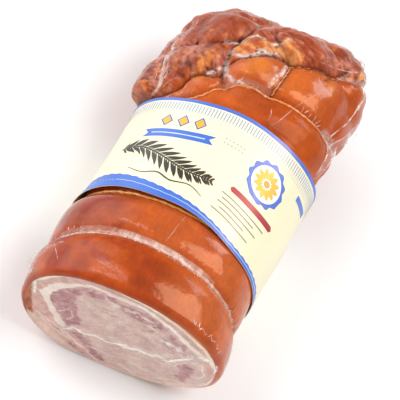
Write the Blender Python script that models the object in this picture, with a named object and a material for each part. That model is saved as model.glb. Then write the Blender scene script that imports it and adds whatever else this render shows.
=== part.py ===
"""Half a porchetta: a boned pork roll in its roasted rind, tied with twine, cut at one end, skin packed and labelled.

The roll lies on its side along Y. Its cut face looks towards -Y and its trussed end is at +Y. Places on the roll are
given by the station, which is the distance behind the cut face, and by the angle round it, from +X towards +Z.
On the trussed end the station is replaced by the run, the distance along the surface from the cut to the end's pole.
"""

import math

import bmesh
import bpy
import numpy as np
from mathutils import Vector
from mathutils.bvhtree import BVHTree

MM = 0.001

# The roll's outer form, before the twine bites into it
ROLL_LENGTH = 318 * MM
END_START = 262 * MM  # from here the trussed end rounds off
END_POWER = 2.6
SECTION_POWER = 2.15
AXIS_HEIGHT = 62 * MM
SAG = 5 * MM  # how far the round section would reach under the surface that it lies on
FLOOR_BLEND = 2.5 * MM
# Station, half width to the left and to the right, height of the underside and of the top, in millimetres
STATIONS = (
    (0, 81, 84, 0.0, 131),
    (20, 84, 83.5, 0.0, 133),
    (45, 82.5, 80, 0.0, 131),
    (65, 83, 78.5, 1.6, 130),
    (88, 78, 79, 2.2, 128),
    (110, 77, 80.5, 2.2, 127),
    (160, 77, 81, 2.2, 127),
    (185, 79, 82.5, 1.8, 128),
    (210, 84, 84.5, 0.0, 130),
    (235, 86, 83, 0.0, 131),
    (262, 82, 84, 0.0, 130),
)
# The part's origin lies under the middle of its bounding box
ORIGIN_X = -0.25 * MM
ORIGIN_STATION = 156.1 * MM

# The cut: a plane set a little askew, with a rounded rim of rind
CUT_SKEW = 0.067  # station gained for each unit of x
CUT_TWIST = 0.07  # the same, but only growing from the axis down to the floor
RIM_RADIUS = 6 * MM
CUT_DOME = 2 * MM

# Twine
TWINE_RADIUS = 1.1 * MM
GAP = 0.35 * MM
GROOVE_WIDTH = 6 * MM
GROOVE_ROUNDING = 1.5 * MM
FLOOR_BITE = 5 * MM

# Label
LABEL_STAND_OFF = 0.45 * MM
LABEL_THICKNESS = 0.5 * MM

SEGMENTS = 72
LOIN_SEGMENTS = 40
TWINE_SIDES = 5


# Where the ties lie: angle in degrees, then station in millimetres
FRONT_TIE = (
    (0, 42), (30, 44.5), (57, 46.5), (91, 46.5), (115, 43.7), (134, 40), (150, 35.5), (180, 31), (225, 27), (270, 27),
    (315, 33),
)
MIDDLE_TIE = ((0, 91), (45, 89.5), (90, 86), (135, 81.5), (180, 80), (225, 82), (270, 87), (315, 90))
BACK_TIE = (
    (0, 231), (20, 227.5), (34, 225), (49, 222.5), (64, 220), (75, 218.5), (87, 216), (98, 213), (105, 208),
    (110, 202), (115, 193.5), (122, 186.5), (136, 178.5), (160, 173), (180, 173), (225, 188), (270, 206), (315, 223),
)
END_TIE = (
    (0, 299), (22, 292.5), (41, 283), (52, 276), (65, 267), (75, 261), (82, 257.5), (89, 255.5), (97, 246),
    (102, 239), (107, 235), (110.5, 229), (113, 219), (115.5, 212), (119, 209.5), (124, 209), (130, 206), (136, 199.5),
    (142, 192.5), (150, 186.5), (180, 188), (225, 216), (270, 252), (315, 287),
)
TIE_DEPTHS = (5.0 * MM, 4.5 * MM, 5.0 * MM, 5.0 * MM)
# The short twine that links the two ties of the trussed end: station and angle of its ends
LINK_ENDS = ((218.5, 83.5), (257, 81.5))
# The label's two edges, written like the ties
LABEL_FRONT = (
    (0, 70), (38, 75.5), (64, 79), (78, 83), (90, 85), (111, 83.5), (133, 82.5), (150, 80), (180, 76), (225, 70),
    (270, 67), (315, 67),
)
LABEL_BACK = (
    (0, 188), (38, 185), (60, 185), (90, 185), (110, 181), (131, 178), (150, 177), (180, 176), (225, 178), (270, 181),
    (315, 186),
)

# Swellings of the trussed end: station and angle in degrees, then radius and height of the crest in millimetres
LOBES = (
    (260, 123, 36, -0.5),
    (298, 112, 24, -3.0),
    (217, 133, 17, 0.5),
    (224, 146, 20, 0.5),
    (228, 122, 13, -0.5),
    (198, 120, 20, 0.5),
    (236, 98, 26, 1.5),
    (254, 105, 13, -1.0),
    (264, 84, 13, -0.5),
    (226, 96, 24, 1.0),
    (243, 58, 62, 1.0),
    (232, 74, 34, 0.6),
    (278, 70, 26, 0.5),
    (298, 56, 30, 0.5),
    (290, 90, 25, -4.0),
    (301, 28, 26, 12.0),
    (276, 15, 26, 5.0),
    (262, 20, 34, 1.0),
    (240, 18, 30, 3.0),
    (199, 177, 25, 9.5),
    (240, 170, 32, 1.0),
    (282, 176, 32, 0.0),
    (230, 330, 36, 0.5),
    (268, 335, 34, 1.0),
    (226, 214, 38, 1.0),
    (268, 206, 36, 1.5),
    (240, 270, 40, -1.0),
    (296, 260, 34, 0.5),
    (313, 40, 28, 1.0),
    (314, 150, 30, 1.5),
    (313, 270, 30, 0.0),
)
# Broad hollows between them, written the same way, with their depth last
HOLLOWS = (
    (298, 117, 20, 7.5),
    (308, 121, 23, 8.0),
)
LOBE_DROP = 6.0 * MM  # how far a swelling falls over its radius
LOBE_VALLEY = -5.5 * MM
# Creases between the swellings, as stations and angles along each, and their depth in millimetres
CREASES = (
    (5.0, ((234, 162), (240, 146), (246, 128), (249, 119.5), (256, 113.5), (265, 111), (284, 109), (300, 106))),
    (3.0, ((258, 83), (265, 90), (271, 95), (284, 98))),
    (3.0, ((255, 113.5), (243, 115), (232, 114), (216, 112.5), (206, 108))),
    (2.5, ((262, 60), (285, 48), (306, 40))),
)
LOBE_BLEND = 0.45 * MM
LOBES_START = (180 * MM, 195 * MM)  # the lobes fade in between these stations

# The thickness of the belly wrap round the loins at the cut, for angles every 30 degrees from +X, in millimetres
WRAP_THICKNESS = (9, 12, 11, 16, 17, 17, 17, 18, 12, 7, 7, 7)
WRAP_THICKENING = 6 * MM
BORE_END = 276 * MM
BORE_STATIONS = (8 * MM, 24 * MM, 170 * MM, 250 * MM, BORE_END)
LOIN_CLEARANCE = 0.35 * MM

# The fat seam between the two loins, as seen on the cut, in millimetres across and up
SEAM = ((-38, 29), (-33, 34), (-28, 37), (-15, 35), (-9, 35), (0, 43), (8, 48), (22, 52), (30, 54), (33, 60),
        (41, 59), (49, 66), (55, 79), (62, 90))
SEAM_GAP = 0.4 * MM

# Free film: station and angle of its root, then how far it stands out, in millimetres
FILM_RIGHT = (
    (300, 34, 0.6), (292, 24, 3), (281, 16, 5), (264, 17, 6.5), (246, 22, 7), (228, 27, 7), (213, 27, 6),
    (202, 24, 4), (194, 20, 0.6),
)
FILM_LEFT = ((274, 158, 0.6), (256, 156, 2), (238, 154, 3.5), (220, 152, 4), (204, 151, 3), (194, 151, 0.6))
FILM_FRONT = ((7, 176, 0.6), (9, 170, 3.5), (12, 163, 5), (15, 156, 4), (19, 149, 2), (23, 143, 0.6))
FILM_EAR = ((296, 98, 0.6), (301, 90, 5), (305, 81, 8), (307, 71, 9.5), (307, 61, 8), (304, 52, 5), (300, 44, 0.6))
FILM_THICKNESS = 0.4 * MM

RIND = ((0.55, 0.17, 0.05), 0.3)
LOIN = ((0.66, 0.45, 0.40), 0.45)
TWINE = ((0.62, 0.36, 0.14), 0.8)
PAPER = ((0.95, 0.90, 0.72), 0.5)
FILM = ((0.92, 0.94, 0.95), 0.15)


def clear_scene():
    for thing in list(bpy.data.objects):
        bpy.data.objects.remove(thing, do_unlink=True)


def material(name, look):
    colour, roughness = look
    made = bpy.data.materials.new(name)
    made.use_nodes = True
    shader = made.node_tree.nodes["Principled BSDF"]
    shader.inputs["Base Color"].default_value = (*colour, 1.0)
    shader.inputs["Roughness"].default_value = roughness
    shader.inputs["Metallic"].default_value = 0.0
    return made


def smooth_table(table, at):
    """Reads the columns after the first of a table at the given values, along smooth curves."""
    table = np.array(table, float)
    keys, values = table[:, 0], table[:, 1:]
    slopes = np.gradient(values, keys, axis=0)
    at = np.clip(np.asarray(at, float), keys[0], keys[-1])
    i = np.clip(np.searchsorted(keys, at, side="right") - 1, 0, len(keys) - 2)
    h = (keys[i + 1] - keys[i])[..., None]
    f = (at - keys[i])[..., None] / h
    return (
        (2 * f**3 - 3 * f**2 + 1) * values[i]
        + (f**3 - 2 * f**2 + f) * h * slopes[i]
        + (3 * f**2 - 2 * f**3) * values[i + 1]
        + (f**3 - f**2) * h * slopes[i + 1]
    )


def pressed(z, low):
    """Heights of a sagging surface after the ground has flattened it."""
    above = z - low
    bend = np.clip(above + FLOOR_BLEND, 0, 2 * FLOOR_BLEND) ** 2 / (4 * FLOOR_BLEND)
    return low + np.where(above > FLOOR_BLEND, above, bend)


def underside(station):
    return np.maximum(smooth_table(STATIONS, station / MM)[..., 2], 0) * MM


def section(station, angle, scale=1.0):
    """Where the angle meets the roll's section at a station, as x and z, before the ground flattens it."""
    left, right, low, high = np.moveaxis(smooth_table(STATIONS, station / MM), -1, 0) * MM
    across, up = np.cos(angle), np.sin(angle)
    x = np.where(across > 0, right, left) * np.sign(across) * np.abs(across) ** (2 / SECTION_POWER)
    rise = np.sign(up) * np.abs(up) ** (2 / SECTION_POWER)
    z = AXIS_HEIGHT + np.where(up > 0, high - AXIS_HEIGHT, AXIS_HEIGHT - low + SAG) * rise * scale
    return x * scale, z


def end_profile():
    """The rounding of the trussed end: run beyond its start, station beyond its start and scale of the section."""
    turn = np.linspace(0, math.pi / 2, 2001)
    beyond = (ROLL_LENGTH - END_START) * np.sin(turn) ** (2 / END_POWER)
    scale = np.cos(turn) ** (2 / END_POWER)
    run = np.concatenate([[0], np.cumsum(np.hypot(np.diff(beyond), 72 * MM * np.diff(scale)))])
    return run, beyond, scale


END_RUN, END_BEYOND, END_SCALE = end_profile()
POLE_RUN = END_START + END_RUN[-1]


def skin(run, angle, flattened=True):
    """Points of the roll's surface without its ties and lobes, as x, station and z."""
    run, angle = np.broadcast_arrays(np.asarray(run, float), angle)
    beyond = np.interp(run - END_START, END_RUN, END_BEYOND)
    scale = np.interp(run - END_START, END_RUN, END_SCALE)
    station = np.where(run < END_START, run, END_START + beyond)
    x, z = section(station, angle, scale)
    return np.stack([x, station, pressed(z, underside(station)) if flattened else z], -1)


def run_of(station):
    station = np.asarray(station, float)
    beyond = END_START + np.interp(station - END_START, END_BEYOND, END_RUN)
    return np.where(station < END_START, station, beyond)


def tie_run(tie, angle):
    """The run at which a tie passes an angle."""
    turned = [(angle_at + turn, station) for turn in (-360, 0, 360) for angle_at, station in tie]
    station = smooth_table(turned, np.degrees(angle) % 360)[..., 0] * MM
    return run_of(station)


def cut_station(x, z):
    return (CUT_SKEW + CUT_TWIST * np.clip(1 - z / AXIS_HEIGHT, 0, 1)) * x


def smooth_max(values, blend):
    top = values.max(axis=0)
    return top + blend * np.log(np.exp((values - top) / blend).sum(axis=0))


def lattice_noise(points, size, seed):
    """Smooth noise from -1 to 1 that varies over the given distance, the same for the same seed."""
    scaled = points / size
    cell = np.floor(scaled).astype(np.int64)
    f = scaled - cell
    f = f * f * f * (f * (f * 6 - 15) + 10)
    total = 0.0
    for corner in np.ndindex(2, 2, 2):
        corner = np.array(corner)
        key = (cell + corner) @ np.array([73856093, 19349663, 83492791]) + seed * 2654435761
        key = (key ^ (key >> 13)) * 1274126177 & 0x7FFFFFFF
        key = (key ^ (key >> 16)) & 0xFFFF
        weight = np.prod(np.where(corner == 1, f, 1 - f), axis=-1)
        total = total + weight * (key / 32767.5 - 1)
    return total


def lobe_relief(points):
    """How far the lobes of the trussed end lift the surface."""
    heights = [np.full(points.shape[:-1], LOBE_VALLEY)]
    for station, angle, radius, height in LOBES:
        centre = skin(run_of(station * MM), math.radians(angle))
        away = np.linalg.norm(points - centre, axis=-1) / (radius * MM)
        heights.append(height * MM - LOBE_DROP * away**2)
    relief = smooth_max(np.array(heights), LOBE_BLEND)
    fade = np.clip((points[..., 1] - LOBES_START[0]) / (LOBES_START[1] - LOBES_START[0]), 0, 1)
    weighed_down = np.clip((points[..., 2] + SAG) / (30 * MM), 0, 1)
    for station, angle, radius, depth in HOLLOWS:
        away = np.linalg.norm(points - skin(run_of(station * MM), math.radians(angle)), axis=-1) / (radius * MM)
        relief = relief - depth * MM * np.exp(-(away**2))
    crags = 1.5 * MM * lattice_noise(points, 16 * MM, 3) + 1.0 * MM * lattice_noise(points, 9 * MM, 4)
    return fade * fade * (3 - 2 * fade) * weighed_down * (relief + crags)


def away_from_line(points, ends):
    """Distances from points to a line of straight stretches."""
    nearest = np.full(points.shape[:-1], np.inf)
    for first, last in zip(ends, ends[1:]):
        along = last - first
        share = np.clip(((points - first) @ along) / (along @ along), 0, 1)
        nearest = np.minimum(nearest, np.linalg.norm(points - first - share[..., None] * along, axis=-1))
    return nearest


def on_skin(places):
    return [skin(run_of(station * MM), math.radians(angle)) for station, angle in places]


def groove(distance, depth):
    """The bite of a tight twine into soft meat, at a distance along the roll."""
    reach = np.sqrt(distance**2 + GROOVE_ROUNDING**2) - GROOVE_ROUNDING
    return -depth * np.exp(-reach / GROOVE_WIDTH)


def tie_relief(run, angle, z):
    """The bites of the ties, deeper where the roll lies on them."""
    relief = 0.0
    under = FLOOR_BITE * np.clip(1 - z / (25 * MM), 0, 1)
    for tie, depth in zip((FRONT_TIE, MIDDLE_TIE, BACK_TIE, END_TIE), TIE_DEPTHS):
        relief = relief + groove(run - tie_run(tie, angle), depth + under)
    return relief


def crease_relief(points):
    relief = groove(away_from_line(points, on_skin(LINK_ENDS)), 3.5 * MM)
    for depth, places in CREASES:
        relief = relief + groove(away_from_line(points, on_skin(places)), depth * MM)
    return relief


def rim_inset(points):
    """The rind rounds in towards the cut."""
    behind = np.clip((points[..., 1] - cut_station(points[..., 0], points[..., 2])) / RIM_RADIUS, 0, 1)
    return -RIM_RADIUS * (1 - np.sqrt(1 - (1 - behind) ** 2)) * 0.8


def outward(points):
    """Unit normals of a grid of surface points, whose rows run round the roll and follow each other to the end."""
    along = np.gradient(points, axis=0)
    round_roll = (np.roll(points, -1, axis=1) - np.roll(points, 1, axis=1)) / 2
    normal = np.cross(along, round_roll)
    return normal / np.linalg.norm(normal, axis=-1, keepdims=True)


def rows_between(start, end, shares):
    return [start + (end - start) * share for share in shares]


def roll_grid():
    """The roll's outer surface, in rings from the rim of the cut to the last one before the end's pole."""
    angle = np.arange(SEGMENTS) * 2 * math.pi / SEGMENTS
    cut = cut_station(*section(np.zeros(SEGMENTS), angle))
    front, middle, back, end = [tie_run(tie, angle) for tie in (FRONT_TIE, MIDDLE_TIE, BACK_TIE, END_TIE)]
    pole = np.full(SEGMENTS, POLE_RUN)
    runs = []
    runs += rows_between(cut, front, (0, 0.02, 0.07, 0.16, 0.32, 0.52, 0.72, 0.86, 0.95))
    runs += rows_between(front, middle, (0, 0.06, 0.17, 0.34, 0.52, 0.7, 0.85, 0.94))
    runs += rows_between(middle, back, (0, 0.03, 0.09, 0.25, 0.45, 0.65, 0.82, 0.92, 0.975))
    runs += rows_between(back, end, (0, 0.08, 0.22, 0.38, 0.55, 0.72, 0.88))
    runs += rows_between(end, pole, (0, 0.025, 0.07, 0.13, 0.19, 0.25, 0.31, 0.38, 0.45, 0.52, 0.6, 0.68, 0.76, 0.84,
                                     0.92, 0.97))
    runs = np.array(runs)
    points = skin(runs, angle, flattened=False)
    relief = tie_relief(runs, angle, points[..., 2]) + lobe_relief(points) + crease_relief(points) + rim_inset(points)
    moved = points + outward(points) * relief[..., None]
    moved[..., 2] = pressed(moved[..., 2], underside(moved[..., 1]))
    return moved


def bore_radius(angle, station):
    """The bore that holds the loins, as a distance from the axis at an angle, shrinking behind the cut."""
    round_table = [(30 * i, value) for i, value in enumerate((*WRAP_THICKNESS, WRAP_THICKNESS[0]))]
    thickness = smooth_table(round_table, np.degrees(angle) % 360)[..., 0] * MM
    thickness = thickness + WRAP_THICKENING * min(station / (20 * MM), 1)
    x, z = section(np.full(np.shape(angle), station), own_angle(angle))
    return np.hypot(x, z - AXIS_HEIGHT) - thickness - RIM_RADIUS * 0.8 * (1 - min(station / (20 * MM), 1))


def own_angle(angle):
    """The section's own angle whose point lies in the given true direction from the axis."""
    wanted = np.atleast_1d(angle) % (2 * math.pi)
    own = np.linspace(0, 2 * math.pi, 1441)
    x, z = section(np.full(own.shape, 20 * MM), own)
    true = np.unwrap(np.arctan2(z - AXIS_HEIGHT, x))
    return np.interp(wanted, true, own).reshape(np.shape(angle))


def polar(angle, radius, station):
    return np.stack([radius * np.cos(angle), np.broadcast_to(station, np.shape(angle)),
                     AXIS_HEIGHT + radius * np.sin(angle)], -1)


def on_cut(loop):
    """A loop of points moved onto the skew, slightly domed cut."""
    moved = loop.copy()
    away = np.hypot(loop[:, 0] / (80 * MM), (loop[:, 2] - AXIS_HEIGHT) / (64 * MM))
    moved[:, 1] = cut_station(loop[:, 0], loop[:, 2]) - CUT_DOME * np.clip(1 - away**2, 0, 1)
    return moved


def to_part(points):
    """Roll coordinates turned into the part's own."""
    return np.asarray(points) - np.array([ORIGIN_X, ORIGIN_STATION, 0.0])


def add_object(name, points, faces, look):
    mesh = bpy.data.meshes.new(name)
    mesh.from_pydata([tuple(p) for p in to_part(points)], [], faces)
    shell = bmesh.new()
    shell.from_mesh(mesh)
    bmesh.ops.recalc_face_normals(shell, faces=shell.faces)
    shell.to_mesh(mesh)
    shell.free()
    mesh.shade_smooth()
    mesh.set_sharp_from_angle(angle=math.radians(50))
    made = bpy.data.objects.new(name, mesh)
    made.data.materials.append(look)
    bpy.context.scene.collection.objects.link(made)
    return made


def bands(loop_count, size, closed=False):
    """Quads between loops of equal size that follow each other."""
    faces = []
    last = loop_count if closed else loop_count - 1
    for row in range(last):
        after = (row + 1) % loop_count
        for i in range(size):
            j = (i + 1) % size
            faces.append((row * size + i, row * size + j, after * size + j, after * size + i))
    return faces


def closed_by_points(loops, first, last):
    """A skin over loops of equal size that closes at a point at either end."""
    size = len(loops[0])
    points = np.concatenate([*loops, [first], [last]])
    faces = bands(len(loops), size)
    head, tail = len(points) - 2, len(points) - 1
    base = (len(loops) - 1) * size
    for i in range(size):
        j = (i + 1) % size
        faces.append((head, j, i))
        faces.append((tail, base + i, base + j))
    return points, faces


def belly_wrap(look):
    """The rind, fat and belly meat, hollow where the loins lie."""
    grid = roll_grid()
    outer = [grid[i] for i in range(len(grid) - 1, -1, -1)]
    rim = grid[0]
    angle = np.arctan2(rim[:, 2] - AXIS_HEIGHT, rim[:, 0])
    mouth = on_cut(polar(angle, bore_radius(angle, 0), 0))
    middle = on_cut((rim + mouth) / 2)
    bore = []
    for station in BORE_STATIONS:
        bore.append(polar(angle, bore_radius(angle, station) * end_shrink(station), station))
    pole = np.array([0, ROLL_LENGTH + 1 * MM, AXIS_HEIGHT])
    deep = np.array([0, BORE_END + 2 * MM, AXIS_HEIGHT])
    points, faces = closed_by_points([*outer, middle, mouth, *bore], pole, deep)
    return add_object("belly_wrap", points, faces, look)


def end_shrink(station):
    """The loins taper before the trussed end."""
    return 1 - 0.45 * np.clip((station - 170 * MM) / (BORE_END - 170 * MM), 0, 1) ** 2


def loin_outline(upper):
    """The outline of one loin on the cut: an arc of the bore closed by the seam, as x and z."""
    seam = np.array(SEAM, float) * MM
    seam[:, 1] += SEAM_GAP / 2 if upper else -SEAM_GAP / 2
    ends = np.arctan2(seam[[0, -1], 1] - AXIS_HEIGHT, seam[[0, -1], 0]) % (2 * math.pi)
    inner = seam[1:-1]
    count = LOIN_SEGMENTS - len(inner)
    left, right = ends
    if upper:
        angle = np.linspace(right, left, count)
    else:
        angle = np.linspace(left, right + 2 * math.pi, count)
    radius = bore_radius(angle, 0) - LOIN_CLEARANCE
    arc = np.stack([radius * np.cos(angle), AXIS_HEIGHT + radius * np.sin(angle)], -1)
    return np.concatenate([arc, inner if upper else inner[::-1]])


def loin(name, upper, look):
    """One loin, running from the cut to near the trussed end."""
    outline = loin_outline(upper)
    angle = np.arctan2(outline[:, 1] - AXIS_HEIGHT, outline[:, 0])
    distance = np.hypot(outline[:, 0], outline[:, 1] - AXIS_HEIGHT)
    share = distance / (bore_radius(angle, 0) - LOIN_CLEARANCE)
    loops = []
    flat = np.stack([outline[:, 0], np.zeros(len(outline)), outline[:, 1]], -1)
    centre = flat.mean(axis=0)
    for size in (0.45, 0.8, 1.0):
        loops.append(on_cut(centre + (flat - centre) * size))
    for station in (*BORE_STATIONS[:-1], BORE_STATIONS[-1] - 1 * MM):
        radius = (bore_radius(angle, station) * end_shrink(station) - LOIN_CLEARANCE) * share
        loops.append(polar(angle, radius, station))
    front = on_cut(centre[None])[0]
    back = loops[-1].mean(axis=0)
    points, faces = closed_by_points(loops, front, back)
    return add_object(name, points, faces, look)


def surface_tree(things):
    shell = bmesh.new()
    for thing in things:
        shell.from_mesh(thing.data)
    tree = BVHTree.FromBMesh(shell)
    shell.free()
    return tree


def clear_of(spot, tree, clearance):
    near, normal, _, distance = tree.find_nearest(spot)
    return (spot - near).dot(normal) > 0 and distance >= clearance


def settled(path, directions, tree, clearance, closed):
    """Path points pushed out along their directions until the cord between them stands clear of a surface."""
    spots = [Vector(point) for point in path]
    ways = [Vector(way) for way in directions]
    count = len(spots)
    for _ in range(240):
        blocked = set()
        for i in range(count if closed else count - 1):
            j = (i + 1) % count
            for share in (0, 0.25, 0.5, 0.75, 1):
                if not clear_of(spots[i].lerp(spots[j], share), tree, clearance):
                    blocked |= {i} if share == 0 else {j} if share == 1 else {i, j}
        for i in blocked:
            spots[i] += ways[i] * 0.12 * MM
        if not blocked:
            break
    return np.array(spots)


def tube(name, path, ways, radius, closed, look):
    """A cord of a few sides along a path, in part coordinates."""
    if closed:
        along = np.roll(path, -1, axis=0) - np.roll(path, 1, axis=0)
    else:
        along = np.gradient(path, axis=0)
    along = along / np.linalg.norm(along, axis=1, keepdims=True)
    away = ways - (ways * along).sum(1, keepdims=True) * along
    away = away / np.linalg.norm(away, axis=1, keepdims=True)
    side = np.cross(along, away)
    turn = np.arange(TWINE_SIDES)[:, None] * 2 * math.pi / TWINE_SIDES
    origin = np.array([ORIGIN_X, ORIGIN_STATION, 0.0])
    loops = [path[i] + origin + radius * (np.cos(turn) * away[i] + np.sin(turn) * side[i]) for i in range(len(path))]
    if closed:
        return add_object(name, np.concatenate(loops), bands(len(path), TWINE_SIDES, closed=True), look)
    points, faces = closed_by_points(loops, loops[0].mean(axis=0), loops[-1].mean(axis=0))
    return add_object(name, points, faces, look)


def dropped_on(spot, way, tree):
    """The place where a surface is met from outside, coming down towards a spot on the undisturbed skin."""
    start = Vector(spot) + Vector(way) * 30 * MM
    hit = tree.ray_cast(start, -Vector(way), 60 * MM)[0] or tree.find_nearest(Vector(spot))[0]
    return np.array(hit)


def ways_out(runs, angle):
    """Unit directions out of the undisturbed skin at some places."""
    step, turn = 1 * MM, math.radians(1)
    along = skin(runs + step, angle) - skin(runs - step, angle)
    round_roll = skin(runs, angle + turn) - skin(runs, angle - turn)
    way = np.cross(along, round_roll)
    return way / np.linalg.norm(way, axis=-1, keepdims=True)


def laid_cord(name, runs, angle, closed, tree, look):
    """A cord laid on a surface over the given places."""
    points = to_part(skin(runs, angle))
    ways = ways_out(runs, angle)
    path = [dropped_on(p, w, tree) + w * (TWINE_RADIUS + GAP * 0.8) for p, w in zip(points, ways)]
    path = settled(path, ways, tree, TWINE_RADIUS + GAP, closed)
    return tube(name, path, ways, TWINE_RADIUS, closed, look)


def twine_ties(wrap, look):
    tree = surface_tree([wrap])
    made = []
    ties = (
        ("twine_front", FRONT_TIE, 56),
        ("twine_middle", MIDDLE_TIE, 56),
        ("twine_back", BACK_TIE, 66),
        ("twine_end", END_TIE, 70),
    )
    for name, tie, count in ties:
        angle = np.arange(count) * 2 * math.pi / count
        made.append(laid_cord(name, tie_run(tie, angle), angle, True, tree, look))
    (first, first_angle), (last, last_angle) = LINK_ENDS
    share = np.linspace(0.1, 0.9, 8)
    runs = run_of((first + (last - first) * share) * MM)
    angle = np.radians(first_angle + (last_angle - first_angle) * share)
    made.append(laid_cord("twine_link", runs, angle, False, tree, look))
    return made


def film_sheet(name, places, lean, tree, look):
    """A free fold of the clear film that stands on the skin along some places, leaning towards a direction."""
    places = np.array(places, float)
    steps = np.linspace(0, len(places) - 1, 2 * len(places) - 1)
    table = np.column_stack([np.arange(len(places)), places])
    station, angle, height = np.moveaxis(smooth_table(table, steps), -1, 0)
    runs, angle, height = run_of(station * MM), np.radians(angle), np.maximum(height, 0.6) * MM
    ways = ways_out(runs, angle)
    points = to_part(skin(runs, angle))
    root = np.array([dropped_on(p, w, tree) + w * 0.9 * MM for p, w in zip(points, ways)])
    root = settled(root, ways, tree, 0.7 * MM, False)
    out = ways + np.array(lean, float)
    out = out / np.linalg.norm(out, axis=1, keepdims=True)
    along = np.gradient(root, axis=0)
    side = np.cross(out, along)
    side = side / np.linalg.norm(side, axis=1, keepdims=True) * FILM_THICKNESS / 2
    edge = root + out * height[:, None]
    middle = (root + edge) / 2 + side * 3 * np.sin(np.arange(len(root)) * 1.9)[:, None]
    loops = np.stack([root + side, middle + side, edge + side, edge - side, middle - side, root - side], 1)
    loops = [loop + np.array([ORIGIN_X, ORIGIN_STATION, 0.0]) for loop in loops]
    size = len(loops[0])
    faces = bands(len(loops), size)
    last = (len(loops) - 1) * size
    faces += [(5, 4, 1, 0), (4, 3, 2, 1)]
    faces += [(last, last + 1, last + 4, last + 5), (last + 1, last + 2, last + 3, last + 4)]
    return add_object(name, np.concatenate(loops), faces, look)


def paper_label(look):
    """The label: a band of stiff paper that bridges the groove under its front edge."""
    angle = np.arange(SEGMENTS) * 2 * math.pi / SEGMENTS
    front, back = tie_run(LABEL_FRONT, angle), tie_run(LABEL_BACK, angle)
    shares = (0, 0.33, 0.67, 1)
    base = np.array([skin(front + (back - front) * share, angle) for share in shares])
    normal = outward(base)
    inner = base + normal * LABEL_STAND_OFF
    outer = base + normal * (LABEL_STAND_OFF + LABEL_THICKNESS)
    loops = [*inner, *outer[::-1]]
    return add_object("paper_label", np.concatenate(loops), bands(len(loops), SEGMENTS, closed=True), look)


def main():
    clear_scene()
    rind = material("rind", RIND)
    meat = material("loin", LOIN)
    string = material("twine", TWINE)
    paper = material("paper", PAPER)
    film = material("film", FILM)
    wrap = belly_wrap(rind)
    loin("loin_upper", True, meat)
    loin("loin_lower", False, meat)
    ties = twine_ties(wrap, string)
    paper_label(paper)
    tree = surface_tree([wrap, *ties])
    film_sheet("film_fin_right", FILM_RIGHT, (0.6, 0, -0.2), tree, film)
    film_sheet("film_fin_left", FILM_LEFT, (-0.3, 0, 0.5), tree, film)
    film_sheet("film_fin_front", FILM_FRONT, (-0.6, -0.5, 0), tree, film)
    film_sheet("film_ear_back", FILM_EAR, (0, 2.5, -0.6), tree, film)


main()
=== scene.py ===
"""Looks for the half porchetta: browned rind under tight clear film, the cut face, twine and label."""

import math

import bmesh
import bpy
import numpy as np
from mathutils import Matrix, Vector
from mathutils.bvhtree import BVHTree


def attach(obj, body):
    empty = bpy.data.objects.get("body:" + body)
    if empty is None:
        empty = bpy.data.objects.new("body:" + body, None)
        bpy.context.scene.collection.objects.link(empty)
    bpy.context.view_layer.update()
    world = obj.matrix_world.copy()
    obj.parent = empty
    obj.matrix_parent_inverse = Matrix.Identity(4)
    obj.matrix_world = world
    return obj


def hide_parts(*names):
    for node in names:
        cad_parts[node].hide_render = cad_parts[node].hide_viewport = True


MM = 0.001
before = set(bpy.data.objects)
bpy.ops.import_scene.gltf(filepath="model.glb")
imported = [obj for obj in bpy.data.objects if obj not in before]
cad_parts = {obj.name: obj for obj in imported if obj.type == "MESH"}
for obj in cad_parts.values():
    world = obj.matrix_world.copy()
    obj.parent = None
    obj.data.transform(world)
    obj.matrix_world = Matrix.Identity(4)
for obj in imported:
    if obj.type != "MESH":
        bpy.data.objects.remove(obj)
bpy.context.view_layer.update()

# The roll's form, as in the part
ROLL_LENGTH, END_START, END_POWER, END_RADIUS = 318 * MM, 262 * MM, 2.6, 72 * MM
SECTION_POWER, AXIS_HEIGHT, SAG, FLOOR_BLEND = 2.15, 62 * MM, 5 * MM, 2.5 * MM
# Station behind the cut, half widths at the left and right, underside and top, in millimetres
STATIONS = (
    (0, 81, 84, 0.0, 131), (20, 84, 83.5, 0.0, 133), (45, 82.5, 80, 0.0, 131), (65, 83, 78.5, 1.6, 130),
    (88, 78, 79, 2.2, 128), (110, 77, 80.5, 2.2, 127), (160, 77, 81, 2.2, 127), (185, 79, 82.5, 1.8, 128),
    (210, 84, 84.5, 0.0, 130), (235, 86, 83, 0.0, 131), (262, 82, 84, 0.0, 130),
)
ORIGIN = np.array([-0.25 * MM, 156.1 * MM, 0.0])
CUT_SKEW, CUT_TWIST, RIM_RADIUS, CUT_DOME = 0.067, 0.07, 6 * MM, 2 * MM
RIM_DEPTH = 0.8 * RIM_RADIUS
GROOVE_WIDTH, GROOVE_ROUNDING, FLOOR_BITE = 6 * MM, 1.5 * MM, 5 * MM
# Ways round the roll, as degrees from its right side over the top, and the station
FRONT_TIE = (
    (0, 42), (30, 44.5), (57, 46.5), (91, 46.5), (115, 43.7), (134, 40), (150, 35.5), (180, 31), (225, 27),
    (270, 27), (315, 33),
)
MIDDLE_TIE = ((0, 91), (45, 89.5), (90, 86), (135, 81.5), (180, 80), (225, 82), (270, 87), (315, 90))
BACK_TIE = (
    (0, 231), (20, 227.5), (34, 225), (49, 222.5), (64, 220), (75, 218.5), (87, 216), (98, 213), (105, 208),
    (110, 202), (115, 193.5), (122, 186.5), (136, 178.5), (160, 173), (180, 173), (225, 188), (270, 206),
    (315, 223),
)
END_TIE = (
    (0, 299), (22, 292.5), (41, 283), (52, 276), (65, 267), (75, 261), (82, 257.5), (89, 255.5), (97, 246),
    (102, 239), (107, 235), (110.5, 229), (113, 219), (115.5, 212), (119, 209.5), (124, 209), (130, 206),
    (136, 199.5), (142, 192.5), (150, 186.5), (180, 188), (225, 216), (270, 252), (315, 287),
)
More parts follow.
